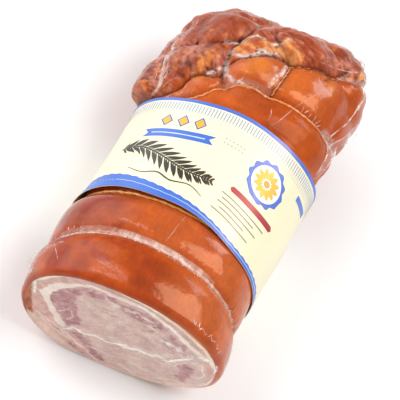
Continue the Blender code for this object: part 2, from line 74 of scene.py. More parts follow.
# Each tie with the depth of its bite
TIES = ((FRONT_TIE, 5.0), (MIDDLE_TIE, 4.5), (BACK_TIE, 5.0), (END_TIE, 5.0))
LINK_ENDS = ((218.5, 83.5), (257, 81.5))
LABEL_FRONT = (
    (0, 70), (38, 75.5), (64, 79), (78, 83), (90, 85), (111, 83.5), (133, 82.5), (150, 80), (180, 76),
    (225, 70), (270, 67), (315, 67),
)
LABEL_BACK = (
    (0, 188), (38, 185), (60, 185), (90, 185), (110, 181), (131, 178), (150, 177), (180, 176), (225, 178),
    (270, 181), (315, 186),
)
# Lumps of the trussed end: station, angle, radius and height; and its hollows with their depth
LOBES = (
    (260, 123, 36, -0.5), (298, 112, 24, -3.0), (217, 133, 17, 0.5), (224, 146, 20, 0.5),
    (228, 122, 13, -0.5), (198, 120, 20, 0.5), (236, 98, 26, 1.5), (254, 105, 13, -1.0),
    (264, 84, 13, -0.5), (226, 96, 24, 1.0), (243, 58, 62, 1.0), (232, 74, 34, 0.6), (278, 70, 26, 0.5),
    (298, 56, 30, 0.5), (290, 90, 25, -4.0), (301, 28, 26, 12.0), (276, 15, 26, 5.0), (262, 20, 34, 1.0),
    (240, 18, 30, 3.0), (199, 177, 25, 9.5), (240, 170, 32, 1.0), (282, 176, 32, 0.0), (230, 330, 36, 0.5),
    (268, 335, 34, 1.0), (226, 214, 38, 1.0), (268, 206, 36, 1.5), (240, 270, 40, -1.0),
    (296, 260, 34, 0.5), (313, 40, 28, 1.0), (314, 150, 30, 1.5), (313, 270, 30, 0.0),
)
HOLLOWS = ((298, 117, 20, 7.5), (308, 121, 23, 8.0))
LOBE_DROP, LOBE_VALLEY, LOBE_BLEND = 6.0 * MM, -5.5 * MM, 0.45 * MM
LOBES_START = (180 * MM, 195 * MM)
# Creases between the lumps: depth, and the way as (station, angle)
CREASES = (
    (5.0, (
        (234, 162), (240, 146), (246, 128), (249, 119.5), (256, 113.5), (265, 111), (284, 109), (300, 106),
    )),
    (3.0, ((258, 83), (265, 90), (271, 95), (284, 98))),
    (3.0, ((255, 113.5), (243, 115), (232, 114), (216, 112.5), (206, 108))),
    (2.5, ((262, 60), (285, 48), (306, 40))),
)
WRAP_THICKNESS = (9, 12, 11, 16, 17, 17, 17, 18, 12, 7, 7, 7)  # every 30 degrees
LABEL_STAND_OFF, LABEL_THICKNESS = 0.45 * MM, 0.5 * MM


def eased(share):
    return share * share * (3 - 2 * share)


def rise(values, start, end):
    """From 0 at start to 1 at end, and flat beyond them."""
    return np.clip((values - start) / (end - start), 0, 1)


def near(distance, width):
    """1 where the distance is nothing, fading out over a width."""
    return np.exp(-((distance / width) ** 2))


def unit(vectors):
    return vectors / np.maximum(np.linalg.norm(vectors, axis=-1, keepdims=True), 1e-12)


def smooth_table(table, at):
    """Smooth curves through the rows of a table, each a key and its values."""
    table = np.array(table, float)
    keys, values = table[:, 0], table[:, 1:]
    slopes = np.gradient(values, keys, axis=0)
    at = np.clip(np.asarray(at, float), keys[0], keys[-1])
    i = np.clip(np.searchsorted(keys, at, side="right") - 1, 0, len(keys) - 2)
    h = (keys[i + 1] - keys[i])[..., None]
    f = (at - keys[i])[..., None] / h
    return (
        (2 * f**3 - 3 * f**2 + 1) * values[i]
        + (f**3 - 2 * f**2 + f) * h * slopes[i]
        + (3 * f**2 - 2 * f**3) * values[i + 1]
        + (f**3 - f**2) * h * slopes[i + 1]
    )


def curve(points, count):
    """A smooth curve of many points through a few."""
    table = np.column_stack([np.arange(len(points)), np.array(points, float)])
    return smooth_table(table, np.linspace(0, len(points) - 1, count))


def pressed(z, low):
    """Heights with everything under a low level pressed flat on it."""
    above = z - low
    bend = np.clip(above + FLOOR_BLEND, 0, 2 * FLOOR_BLEND) ** 2 / (4 * FLOOR_BLEND)
    return low + np.where(above > FLOOR_BLEND, above, bend)


def underside(station):
    return np.maximum(smooth_table(STATIONS, station / MM)[..., 2], 0) * MM


def bowed(value):
    return np.sign(value) * np.abs(value) ** (2 / SECTION_POWER)


def section(station, angle, scale=1.0):
    """The roll's outline at a station."""
    left, right, low, high = np.moveaxis(smooth_table(STATIONS, station / MM), -1, 0) * MM
    across, up = np.cos(angle), np.sin(angle)
    z = AXIS_HEIGHT + np.where(up > 0, high - AXIS_HEIGHT, AXIS_HEIGHT - low + SAG) * bowed(up) * scale
    return np.where(across > 0, right, left) * bowed(across) * scale, z


def end_profile():
    """How the roll closes: the way along its surface, the station and the scale of its section."""
    turn = np.linspace(0, math.pi / 2, 2001)
    beyond = (ROLL_LENGTH - END_START) * np.sin(turn) ** (2 / END_POWER)
    scale = np.cos(turn) ** (2 / END_POWER)
    run = np.concatenate([[0], np.cumsum(np.hypot(np.diff(beyond), END_RADIUS * np.diff(scale)))])
    return run, beyond, scale


END_RUN, END_BEYOND, END_SCALE = end_profile()
POLE_RUN = END_START + END_RUN[-1]


def station_of(run):
    """The station behind the cut that a way along the surface leads to."""
    return np.where(run < END_START, run, END_START + np.interp(run - END_START, END_RUN, END_BEYOND))


def run_of(station):
    """The way along the surface to a station behind the cut."""
    station = np.asarray(station, float)
    beyond = END_START + np.interp(station - END_START, END_BEYOND, END_RUN)
    return np.where(station < END_START, station, beyond)


def skin(run, angle, flattened=True):
    """Points of the smooth roll, from the way along its surface and the angle round it."""
    run, angle = np.broadcast_arrays(np.asarray(run, float), angle)
    station = station_of(run)
    x, z = section(station, angle, np.interp(run - END_START, END_RUN, END_SCALE))
    return np.stack([x, station, pressed(z, underside(station)) if flattened else z], -1)


def spot(station, angle):
    return skin(run_of(station * MM), math.radians(angle))


def tie_run(tie, angle):
    """Where a way round the roll lies at each angle."""
    turned = [(angle_at + turn, station) for turn in (-360, 0, 360) for angle_at, station in tie]
    return run_of(smooth_table(turned, np.degrees(angle) % 360)[..., 0] * MM)


def cut_station(x, z):
    """How far back the skew cut is."""
    return (CUT_SKEW + CUT_TWIST * np.clip(1 - z / AXIS_HEIGHT, 0, 1)) * x


def behind_cut(points):
    return points[..., 1] - cut_station(points[..., 0], points[..., 2])


def smooth_max(values, blend):
    """The highest of several values, with the corners between them rounded."""
    top = values.max(axis=0)
    return top + blend * np.log(np.exp((values - top) / blend).sum(axis=0))


def noise(points, size, seed):
    """Smooth noise from -1 to 1 between hashed values at the corners of a grid."""
    scaled = points / size
    cell = np.floor(scaled).astype(np.int64)
    share = scaled - cell
    share = share * share * share * (share * (share * 6 - 15) + 10)
    total = 0.0
    for corner in np.ndindex(2, 2, 2):
        corner = np.array(corner)
        key = (cell + corner) @ np.array([73856093, 19349663, 83492791]) + seed * 2654435761
        key = (key ^ (key >> 13)) * 1274126177 & 0x7FFFFFFF
        key = (key ^ (key >> 16)) & 0xFFFF
        total = total + np.prod(np.where(corner == 1, share, 1 - share), axis=-1) * (key / 32767.5 - 1)
    return total


def octaves(points, *layers):
    """A sum of noises, each given as its strength, size in millimetres and seed."""
    return sum(strength * noise(points, size * MM, seed) for strength, size, seed in layers)


def ridges(points, size, seed):
    """Noise with sharp crests, its size in millimetres."""
    return 1 - 2 * np.abs(noise(points, size * MM, seed))


def away_from_line(points, ends):
    """The distance to the nearest part of a line through its ends."""
    ends = np.array(ends, float)
    nearest = np.full(points.shape[:-1], np.inf)
    for first, last in zip(ends, ends[1:]):
        along = last - first
        share = np.clip(((points - first) @ along) / (along @ along), 0, 1)
        nearest = np.minimum(nearest, np.linalg.norm(points - first - share[..., None] * along, axis=-1))
    return nearest


def bite(distance, width=GROOVE_WIDTH, rounding=GROOVE_ROUNDING):
    """1 in the middle of a groove with a rounded bottom, fading out to its sides."""
    return np.exp(-(np.sqrt(distance**2 + rounding**2) - rounding) / width)


def crags(points):
    return octaves(points, (1.5, 16, 3), (1.0, 9, 4)) * MM


def lobe_relief(points):
    """The lumps and hollows of the trussed end."""
    heights = [np.full(points.shape[:-1], LOBE_VALLEY)]
    for station, angle, radius, height in LOBES:
        away = np.linalg.norm(points - spot(station, angle), axis=-1) / (radius * MM)
        heights.append(height * MM - LOBE_DROP * away**2)
    relief = smooth_max(np.array(heights), LOBE_BLEND)
    for station, angle, radius, depth in HOLLOWS:
        away = np.linalg.norm(points - spot(station, angle), axis=-1)
        relief = relief - depth * MM * near(away, radius * MM)
    weighed_down = rise(points[..., 2], -SAG, 30 * MM - SAG)
    return eased(rise(points[..., 1], *LOBES_START)) * weighed_down * (relief + crags(points))


def rim_inset(points):
    """How the rind rounds over at the cut."""
    inward = 1 - np.clip(behind_cut(points) / RIM_RADIUS, 0, 1)
    return -RIM_DEPTH * (1 - np.sqrt(1 - inward**2))


def outward(points):
    """The way out of a closed band of points in rows."""
    round_roll = (np.roll(points, -1, axis=1) - np.roll(points, 1, axis=1)) / 2
    return unit(np.cross(np.gradient(points, axis=0), round_roll))


# Meshes and materials
def linear(*colour):
    """A colour given as 0 to 255, in the renderer's own scale."""
    c = np.array(colour, float) / 255
    return np.where(c <= 0.04045, c / 12.92, ((c + 0.055) / 1.055) ** 2.4)


def mixed(under, over, share):
    """One colour over another. A plain colour is given as 0 to 255."""
    under, over = (linear(*colour) if isinstance(colour, tuple) else colour for colour in (under, over))
    share = np.clip(share, 0, 1)[..., None]
    return under * (1 - share) + over * share


def layered(colour, *coats):
    """Coats over a colour, each given as its own colour and how much of it shows."""
    for over, share in coats:
        colour = mixed(colour, over, share)
    return colour


def add_mesh(name, points, faces, material, colours=None, values=None, sharp=None):
    """A mesh piece from arrays in roll coordinates, with its colours and other values kept at its points."""
    mesh = bpy.data.meshes.new(name)
    points = np.asarray(points, float) - ORIGIN
    mesh.vertices.add(len(points))
    mesh.vertices.foreach_set("co", points.ravel())
    faces = [np.asarray(part) for part in (faces if isinstance(faces, list) else [faces])]
    sizes = np.concatenate([np.full(len(part), part.shape[1]) for part in faces])
    corners = np.concatenate([part.ravel() for part in faces])
    mesh.loops.add(len(corners))
    mesh.loops.foreach_set("vertex_index", corners.astype(np.int32))
    mesh.polygons.add(len(sizes))
    mesh.polygons.foreach_set("loop_start", np.concatenate([[0], np.cumsum(sizes)[:-1]]).astype(np.int32))
    mesh.update(calc_edges=True)
    if colours is not None:
        layer = mesh.attributes.new("tint", "FLOAT_COLOR", "POINT")
        layer.data.foreach_set("color", np.column_stack([colours, np.ones(len(colours))]).ravel())
    for key, numbers in (values or {}).items():
        layer = mesh.attributes.new(key, "FLOAT", "POINT")
        layer.data.foreach_set("value", np.asarray(numbers, float).ravel())
    mesh.validate()
    mesh.shade_smooth()
    if sharp:
        mesh.set_sharp_from_angle(angle=math.radians(sharp))
    mesh.materials.append(material)
    return add_thing(name, mesh)


def add_thing(name, data):
    thing = bpy.data.objects.new(name, data)
    bpy.context.scene.collection.objects.link(thing)
    return thing


def band_faces(rows, columns, closed_rows=False, closed_columns=True):
    """The quads between points in rows and columns."""
    row = np.arange(rows if closed_rows else rows - 1)[:, None]
    column = np.arange(columns if closed_columns else columns - 1)[None, :]
    after, beside = (row + 1) % rows, (column + 1) % columns
    here, ahead = row * columns, after * columns
    quads = [here + column, here + beside, ahead + beside, ahead + column]
    return np.stack(np.broadcast_arrays(*quads), -1).reshape(-1, 4)


class Paint:
    """A material's node graph."""

    def __init__(self, name, **settings):
        self.material = bpy.data.materials.new(name)
        self.material.use_nodes = True
        self.tree = self.material.node_tree
        self.shader = self.tree.nodes["Principled BSDF"]
        for key, value in settings.items():
            self.shader.inputs[key.replace("_", " ")].default_value = value

    def node(self, kind, inputs=None, **settings):
        made = self.tree.nodes.new(kind)
        for key, value in settings.items():
            setattr(made, key, value)
        for key, value in (inputs or {}).items():
            if isinstance(value, bpy.types.NodeSocket):
                self.tree.links.new(value, made.inputs[key])
            else:
                made.inputs[key].default_value = value
        return made

    def grain(self, scale, detail, stretch=(1, 1, 1), roughness=0.55):
        where = self.node("ShaderNodeTexCoord").outputs["Object"]
        place = self.node("ShaderNodeMapping", {"Vector": where, "Scale": stretch}).outputs[0]
        settings = {"Vector": place, "Scale": scale, "Detail": detail, "Roughness": roughness}
        return self.node("ShaderNodeTexNoise", settings).outputs["Fac"]

    def range(self, value, low, high, to_low=0.0, to_high=1.0):
        settings = {"Value": value, "From Min": low, "From Max": high, "To Min": to_low, "To Max": to_high}
        return self.node("ShaderNodeMapRange", settings).outputs[0]

    def maths(self, operation, first, second):
        return self.node("ShaderNodeMath", {0: first, 1: second}, operation=operation).outputs[0]

    def shaded(self, colour, shade):
        return self.node("ShaderNodeVectorMath", {0: colour, 1: shade}, operation="MULTIPLY").outputs[0]

    def kept(self, name, output="Fac"):
        return self.node("ShaderNodeAttribute", attribute_name=name).outputs[output]

    def bump(self, height, distance, strength=1.0, under=None):
        settings = {"Height": height, "Distance": distance, "Strength": strength}
        if under:
            settings["Normal"] = under
        return self.node("ShaderNodeBump", settings).outputs[0]

    def set(self, **links):
        for key, value in links.items():
            self.tree.links.new(value, self.shader.inputs[key.replace("_", " ")])
        return self.material


def meat_paint(name, roughness, grain_depth):
    """Moist meat under tight film: colours and gloss kept at the points, mottled and grained."""
    paint = Paint(name, Roughness=0.5, Specular_IOR_Level=0.04, Coat_Roughness=roughness, Coat_IOR=1.32)
    mottle = paint.range(paint.grain(110, 5), 0.3, 0.7, 0.88, 1.12)
    fine = paint.range(paint.grain(900, 3), 0.3, 0.7, 0.93, 1.07)
    streaks = paint.range(paint.grain(620, 3, (1, 0.22, 1)), 0.3, 0.7, 0.92, 1.08)
    shade = paint.maths("MULTIPLY", mottle, paint.maths("MULTIPLY", fine, streaks))
    rough = paint.kept("rough")
    crisp = paint.grain(420, 5, roughness=0.65)
    relief = paint.bump(paint.maths("MULTIPLY", crisp, paint.maths("ADD", rough, 0.12)), grain_depth)
    film = paint.bump(paint.grain(70, 2, (1, 0.6, 1)), 0.45 * MM)
    film = paint.bump(paint.grain(330, 3, (1, 0.8, 1), 0.6), 0.19 * MM, under=film)
    wrinkles = paint.range(paint.grain(210, 2, (1, 0.22, 1)), 0.6, 0.72)
    film = paint.bump(wrinkles, 0.05 * MM, 0.8, under=film)
    crumples = paint.maths("MULTIPLY", paint.grain(230, 4, roughness=0.65), rough)
    film = paint.bump(crumples, 0.9 * MM, under=film)
    colour = paint.shaded(paint.kept("tint", "Color"), shade)
    return paint.set(Base_Color=colour, Normal=relief, Coat_Normal=film, Coat_Weight=paint.kept("gloss"))


RIND_PAINT = meat_paint("rind_under_film", 0.05, 1.1 * MM)
CUT_PAINT = meat_paint("cut_meat", 0.12, 0.8 * MM)

# The rind, fat and belly, with the cut's rim
AROUND = 600
GRID_ROWS = (56, 56, 84, 50, 190)  # between the rim, the four ties and the closed end
GRID_GATHER, END_GATHER = 0.3 / math.pi, 1.15
ROUND_PER_DEGREE = 1.36  # millimetres round the roll for each degree
# Outlines of what shows at the trussed end, as (angle, station)
MEAT_LEFT = ((82, 262), (84, 240), (92, 256), (104, 241), (112, 232), (109, 218), (101, 210), (112, 205),
             (121, 193), (135, 188), (150, 184), (168, 190), (172, 230), (170, 290), (120, 300), (82, 290))
PANEL_D = ((112, 231), (104, 237), (97, 246), (89, 255), (83, 259), (82, 240), (83, 221), (92, 216),
           (103, 212), (111, 215))
PANEL_C = ((145, 197), (131, 205), (122, 210), (112, 211), (108, 208), (113, 195), (122, 187), (136, 179),
           (150, 176))
LOBE_A = ((156, 243), (160, 265), (156, 300), (124, 296), (110, 287), (111, 270), (119, 254), (127, 248),
          (142, 246))
# Each band of fat with its strength
FAT_BANDS = (
    (1.0, ((115, 249), (108, 258), (95, 264), (90, 259), (99, 247), (106, 241), (113, 239))),
    (1.0, ((93, 273), (87, 278), (79, 268), (75, 261), (84, 258), (92, 261))),
    (0.7, ((130, 208), (125, 216), (120, 229), (116, 240), (120, 240), (126, 226), (130, 214))),
)
# Round spots, as (angle, station, radius)
DARK_SPOTS = ((135, 226, 3), (136, 214, 4), (122, 218, 5), (146, 247, 3), (128, 243, 4), (149, 261, 4),
              (163, 209, 4))
FAT_SPOTS = (
    (146, 213, 7), (127, 214, 6), (125, 223, 8), (120, 236, 5), (130, 207, 5), (141, 227, 5), (135, 250, 8),
    (121, 228, 7), (157, 205, 6), (164, 194, 7), (178, 190, 6), (37, 291, 4), (25, 292, 7), (27, 283, 5),
    (205, 262, 12), (196, 230, 9), (236, 284, 12), (262, 262, 10), (-40, 300, 10), (-8, 304, 8),
    (190, 292, 10), (60, 312, 6), (150, 306, 7),
)
HOLES = ((114, 225, 2.6), (113, 231, 1.6), (143, 245, 1.6), (115, 256, 2.2), (123, 247, 1.3), (118, 219, 1.6))
# Spots of painted light, golden, that lift places lying in shade
PAINTED_LIGHT_SPOTS = ((96, 234, 13), (125, 205, 9), (100, 226, 8), (57, 262, 12))
# Edges that the film whitens, as (angle, station)
WHITE_EDGES = (
    ((121, 248), (115, 252), (109, 259), (101, 264)), ((113, 236), (105, 239), (98, 247), (90, 257.5)),
    ((114, 232), (112.5, 224), (111, 217), (105, 213), (96, 214)), ((84.5, 256), (85, 240), (87, 222)),
    ((115, 244), (114, 233)), ((96, 262), (92, 270), (90, 278)), ((36, 299), (27, 290), (27, 270)),
    ((122, 212), (117, 220), (112, 224)),
)
# The way the strands of meat and fat run, as a shear of the roll's axes
FOLD = np.array([[0.9, 0.5, 0.1], [-0.4, 1.0, 0.2], [0.2, 0.1, 1.0]])


def grid_runs(angle):
    """The rows of the outer surface, closer together where the twine bites."""
    rim = cut_station(*section(np.zeros(len(angle)), angle))
    edges = [rim] + [tie_run(tie, angle) for tie, _ in TIES] + [np.full(len(angle), POLE_RUN)]
    rows = []
    for start, end, count in zip(edges, edges[1:], GRID_ROWS):
        share = np.linspace(0, 1, count, endpoint=False)
        gathered = share - GRID_GATHER * np.sin(2 * math.pi * share)
        gathered = gathered if end is not edges[-1] else share**END_GATHER
        rows += [start + (end - start) * s for s in gathered]
    return np.array(rows)[:-1]


def depth_inside(places, outline):
    """How far inside an outline places lie, and less than nothing outside it."""
    x, y = places[..., 0], places[..., 1]
    odd = np.zeros(x.shape, bool)
    for (ax, ay), (bx, by) in zip(outline, (*outline[1:], outline[0])):
        crosses = (ay > y) != (by > y)
        odd ^= crosses & (x < ax + (y - ay) / (by - ay or 1e-9) * (bx - ax))
    away = away_from_line(places, (*outline, outline[0]))
    return np.where(odd, away, -away)


def soft_inside(places, outline, soft):
    return np.clip(0.5 + depth_inside(places, outline) / soft, 0, 1)


def reach_of(places, path, margin):
    """A path in millimetres round and along, and which places are near its box."""
    corners = np.array(path, float) * (ROUND_PER_DEGREE, 1)
    return corners, np.all((places > corners.min(0) - margin) & (places < corners.max(0) + margin), axis=-1)


def patch(places, outline, soft=3.0):
    """From 0 to 1 inside an outline given as (angle, station)."""
    corners, close = reach_of(places, outline, soft)
    share = np.zeros(places.shape[:-1])
    share[close] = soft_inside(places[close], corners, soft)
    return share


def lines(places, paths, width):
    """From 0 to 1 near lines given as (angle, station)."""
    share = np.zeros(places.shape[:-1])
    for path in paths:
        corners, close = reach_of(places, path, 3 * width)
        share[close] = np.maximum(share[close], near(away_from_line(places[close], corners), width))
    return share


def dots(places, spots):
    """From 0 to 1 inside round spots given as (angle, station, radius)."""
    share = np.zeros(places.shape[:-1])
    for angle, station, radius in spots:
        away = np.hypot(places[..., 0] - angle * ROUND_PER_DEGREE, places[..., 1] - station) / radius
        share = np.maximum(share, np.clip(1.6 * (1 - away), 0, 1))
    return eased(share)


def zones(angle, runs, base):
    """What kind of surface lies where: bare meat, browned fat, dark stains, film-whitened edges, holes, and
    spots that get painted light.
    """
    station = station_of(runs) / MM
    degrees = np.broadcast_to((np.degrees(angle) + 90) % 360 - 90, runs.shape)
    warp = [octaves(base, (1.9, 8, seed), (1.0, 3.5, seed + 1)) for seed in (31, 33)]
    places = np.stack([degrees * ROUND_PER_DEGREE + warp[0], station + warp[1]], -1)
    middle_panel, left_panel = patch(places, PANEL_D, 2.0), patch(places, PANEL_C)
    beyond = rise(runs - tie_run(END_TIE, angle), -2.5 * MM, 2.5 * MM)
    turned_away = rise(station + warp[0], 208, 216) * (degrees > 165)
    meat = np.maximum.reduce([beyond, turned_away, patch(places, MEAT_LEFT)])
    meat = meat * (1 - np.maximum(middle_panel, left_panel))
    scattered = meat * rise(station, 262, 252) * rise(degrees, 116, 122)
    bands = [strength * patch(places, outline) for strength, outline in FAT_BANDS]
    likely = np.maximum.reduce([*bands, 0.75 * dots(places, FAT_SPOTS), 0.12 * scattered])
    flecks = octaves(base, (1, 6, 36), (0.7, 2.8, 38), (0.45, 1.7, 35))
    fat = rise(likely + 0.5 * flecks, 0.36, 0.86) * np.clip(likely * 20, 0, 1)
    stains = np.minimum(rise(octaves(base, (1, 5, 39), (0.6, 2.4, 40)), 0.3, 0.75), 0.55)
    dark = np.clip(stains * scattered + dots(places, DARK_SPOTS), 0, 0.85)
    return {
        "station": station, "degrees": degrees, "meat": meat, "fat": fat * (0.25 + 0.75 * meat), "dark": dark,
        "middle_panel": middle_panel, "left_panel": left_panel, "brown": patch(places, LOBE_A, 14.0),
        "white": lines(places, WHITE_EDGES, 1.4), "holes": dots(places, HOLES),
        "painted_light": dots(places, PAINTED_LIGHT_SPOTS),
    }


def grooves(angle, runs, base):
    """How deep twine and creases bite into the roll, and how near they are."""
    under = FLOOR_BITE * rise(base[..., 2], 25 * MM, 0)
    depth_here, tie = np.zeros(runs.shape), np.zeros(runs.shape)
    for way, depth in TIES:
        away = runs - tie_run(way, angle)
        depth_here = depth_here + (depth * MM + under) * bite(away)
        depth_here = depth_here + 0.9 * MM * bite(away, 1.8 * MM, 0.6 * MM)
        tie = np.maximum(tie, near(away, 6 * MM))
    along = np.broadcast_to(angle * 75 * MM, runs.shape)
    drawn = np.stack([along, runs, runs * 0], -1)
    puckers = noise(drawn * (1, 0.22, 1), 3.2 * MM, 11) + 0.6 * noise(drawn * (1, 0.3, 1), 1.7 * MM, 12)
    away = away_from_line(base, [spot(*end) for end in LINK_ENDS])
    crease = bite(away, 3 * MM)
    depth_here = depth_here - 0.4 * MM * tie * puckers + 3.5 * MM * bite(away)
    for depth, places in CREASES:
        away = away_from_line(base, [spot(*place) for place in places])
        away = away + 1.2 * MM * np.abs(noise(base, 8 * MM, 21))
        depth_here = depth_here + depth * MM * bite(away) + 1.2 * MM * bite(away, 1.6 * MM, 0.5 * MM)
        crease = np.maximum(crease, bite(away, 2 * MM))
    return depth_here, tie, crease


def wrap_surface():
    """The outer surface's points with all its relief, and the marks that colour it."""
    angle = np.arange(AROUND) * 2 * math.pi / AROUND
    runs = grid_runs(angle)
    base = skin(runs, angle, flattened=False)
    marks = zones(angle, runs, base)
    meat, fat, brown = marks["meat"], marks["fat"], marks["brown"]
    past_label = rise(base[..., 1], LOBES_START[0], LOBES_START[0] + 25 * MM)
    smoothing = past_label * np.maximum(0.8 * (1 - meat), 0.6 * brown)
    depth, tie, crease = grooves(angle, runs, base)
    folded = base @ FOLD
    waves = ridges(folded * (0.5, 2, 1), 8, 41) + 0.8 * ridges(folded * (0.5, 2, 1), 4, 42)
    waves = waves + 0.5 * ridges(folded, 2.4, 43) - 0.8
    strands = ridges(folded * (0.35, 1.5, 0.6), 5, 44) + 0.6 * ridges(folded * (0.4, 1.6, 0.8), 2.6, 45)
    small = (
        0.36 * fat * waves * np.clip(0.6 + noise(base, 11 * MM, 49), 0, 1.2)
        + 0.32 * meat * (1 - fat) * (1 - 0.3 * brown) * (strands - 0.6)
        + 0.5 * meat * (1 - 0.8 * brown) * noise(base, 5 * MM, 52)
        + 0.35 * marks["white"] * ridges(folded, 1.8, 46)
        + octaves(base, (0.3, 22, 51), (0.07, 7, 53))
        - 1.2 * marks["holes"]
    )
    relief = lobe_relief(base) + rim_inset(base) - smoothing * crags(base) - depth + small * MM
    points = base + outward(base) * relief[..., None]
    points[..., 2] = pressed(points[..., 2], underside(points[..., 1]))
    seam = near(runs - tie_run(END_TIE, angle), 1.7 * MM) * (base[..., 2] > 30 * MM)
    seam = seam * np.clip((marks["degrees"] - 40) / 25, 0.2, 1)
    crinkle = ridges(folded, 1.7, 47) + 0.5 * noise(base, 4 * MM, 48)
    marks.update(tie=tie, crease=crease, waves=waves, strands=strands, seam=seam, crinkle=crinkle)
    return angle, runs, base, points, marks


def meat_colours(base, marks, slow, quick):
    """Bare belly meat in strands, browned and stained, with pale streaks where the film is drawn over it,
    their paleness painted sheen.
    """
    strands, brown = marks["strands"], marks["brown"]
    drawn = octaves(base * (1.0, 0.25, 0.5), (1, 2.2, 72), (0.5, 5, 73))
    drawn = np.clip(0.8 * drawn - 0.2, 0, 0.35) * rise(marks["degrees"], 96, 112)
    return layered(
        mixed((168, 78, 46), (112, 42, 28), 0.45 - 0.55 * strands),
        ((200, 124, 104), np.clip(0.9 * strands - 0.6 + 0.4 * slow, 0, 0.6)),
        (mixed((158, 68, 36), (116, 44, 26), 0.4 - 0.5 * strands), 0.85 * brown),
        ((214, 122, 56), np.clip(0.9 * quick - 0.35, 0, 0.5) * (1 - 0.8 * brown)),
        ((90, 34, 30), marks["dark"] * (1 - 0.6 * brown)),
        # pale streaks of the drawn film: real streaks, their paleness painted sheen
        ((226, 160, 132), drawn * (1 - 0.8 * brown)),
    )


def fat_colours(marks, quick):
    """Browned fat, with painted highlight on its ridges and painted shade in its troughs, and amber towards
    the closed end.
    """
    waves, degrees = marks["waves"], marks["degrees"]
    amber = rise(marks["station"], 244, 250) * rise(degrees, 102, 96)
    return layered(
        # paler towards the wave crests as painted highlight, and darker in the troughs as painted shade
        mixed((198, 94, 34), (238, 158, 82), 0.42 + 0.75 * waves),
        ((150, 62, 28), np.clip(-waves - 0.5, 0, 0.7)),
        ((186, 92, 48), 0.45 * rise(degrees, 116, 122)),
        ((240, 168, 104), amber * np.clip(0.35 + 0.5 * quick, 0, 0.7)),
    )


def rind_colours(base, marks):
    """The colour of every point of the outer surface."""
    station, degrees, crease = marks["station"], marks["degrees"], marks["crease"]
    slow = octaves(base, (1, 34, 61), (0.5, 15, 62))
    quick = octaves(base, (1, 6, 63), (0.5, 3, 64))
    streaks = octaves(base * (0.4, 1, 0.4), (1, 5, 66), (0.6, 2.6, 67))
    dull = np.clip(1.1 * noise(base, 26 * MM, 65) - 0.3, 0, 0.4)
    panels = rise(station, 216, 226) * (1 - marks["meat"])
    glaze = noise(base * (1, 0.4, 1), 4 * MM, 70) + 0.5 * noise(base, 2.5 * MM, 71)
    third_bulge = rise(station, 184, 190) * (1 - panels) * rise(degrees, 75, 100)
    front, second_bulge = station < 90, rise(station, 40, 48) * (station < 90)
    left = rise(degrees - 16 * second_bulge, 84, 114) * front
    blotches = 1.3 * noise(base * (1, 1.6, 1), 13 * MM, 68) + 0.5 * noise(base, 5 * MM, 69)
    base_colour = mixed((164, 65, 20), (190, 86, 28), 0.5 + 0.6 * slow)
    return layered(
        base_colour * (1 + 0.07 * streaks + 0.05 * quick)[..., None],
        ((128, 46, 22), dull),
        # the end's panels, darker towards the right side: painted shade
        (mixed((180, 78, 28), (208, 104, 42), rise(degrees, 46, 74)), panels * (0.8 + 0.3 * slow)),
        # the middle panel darkened: painted shade
        ((180, 84, 38), 0.7 * marks["middle_panel"]),
        ((236, 164, 96), np.clip(glaze - 0.1, 0, 0.6) * marks["left_panel"]),
        # the third bulge lighter over its top and left: painted light
        ((206, 102, 50), 0.45 * third_bulge),
        # the second bulge lighter over its top as painted light, and darker on its left side as painted shade
        ((208, 108, 60), 0.3 * second_bulge * rise(degrees, 70, 84) * (1 - left)),
        ((132, 58, 38), 0.35 * second_bulge * rise(degrees, 108, 124)),
        ((140, 44, 30), np.clip(blotches, 0, 0.6) * left),
        # the two front bulges lighter on their right side: painted light
        ((216, 116, 64), 0.38 * rise(degrees, 88, 58) * (station < 95)),
        # golden painted light over spots that lie in shade
        ((240, 150, 64), 0.3 * marks["painted_light"]),
        # darker next to the ties and creases: painted shade in the grooves
        ((150, 58, 22), 0.45 * np.maximum(marks["tie"] ** 2, 0.8 * crease)),
        (meat_colours(base, marks, slow, quick), marks["meat"]),
        (fat_colours(marks, quick), marks["fat"]),
        ((246, 230, 216), marks["white"] * np.clip(0.2 + 0.8 * marks["crinkle"], 0, 0.9)),
        # dark deep in the creases: painted shade
        ((64, 24, 14), 0.85 * crease**3 * (station > 195)),
        # dark along the end tie's crease: painted shade
        ((70, 26, 14), 0.8 * marks["seam"]),
        # near-black in the holes: painted shade
        ((48, 18, 12), marks["holes"]),
    )


# The cut face, in millimetres across and up
FACE_OUTLINE = (
    (-76, 81), (-63, 102), (-54, 114), (-43, 122), (-33, 126), (-22, 127), (-9, 128), (4, 128), (19, 126),
    (34, 121), (48, 114), (61, 106), (72, 94), (79, 84), (82, 72), (80, 53), (72, 38), (59, 24), (46, 14),
    (34, 8), (21, 3), (8, 1), (-7, 0), (-22, 4), (-36, 11), (-50, 20), (-64, 31), (-73, 42), (-79, 62),
)
SEAM = ((-38, 33), (-32, 42), (-27, 42), (-22, 41), (-15, 46), (-10, 46), (-4, 45), (4, 51), (12, 52),
        (17, 57), (25, 58), (31, 58), (34, 64), (38, 63), (43, 62), (47, 69), (51, 76), (57, 86), (62, 91))
FAT_LINE = (
    (-41, 38), (-49, 49), (-57, 59), (-62, 70), (-61, 80), (-56, 90), (-49, 99), (-41, 109), (-33, 115),
    (-22, 117), (-10, 118), (2, 121), (12, 120), (21, 117), (30, 112), (39, 107), (47, 101), (56, 95),
    (64, 91),
)
FAT_WIDTH = ((-60, 7.5), (-50, 6.0), (-44, 4.0), (-30, 3.6), (0, 3.8), (20, 3.4), (40, 4.4), (56, 5.5),
             (70, 6.0))
LOWER_EDGE = ((72, 74), (76, 56), (68, 38), (54, 24), (38, 14), (20, 7), (4, 5), (-4, 8), (-20, 30))
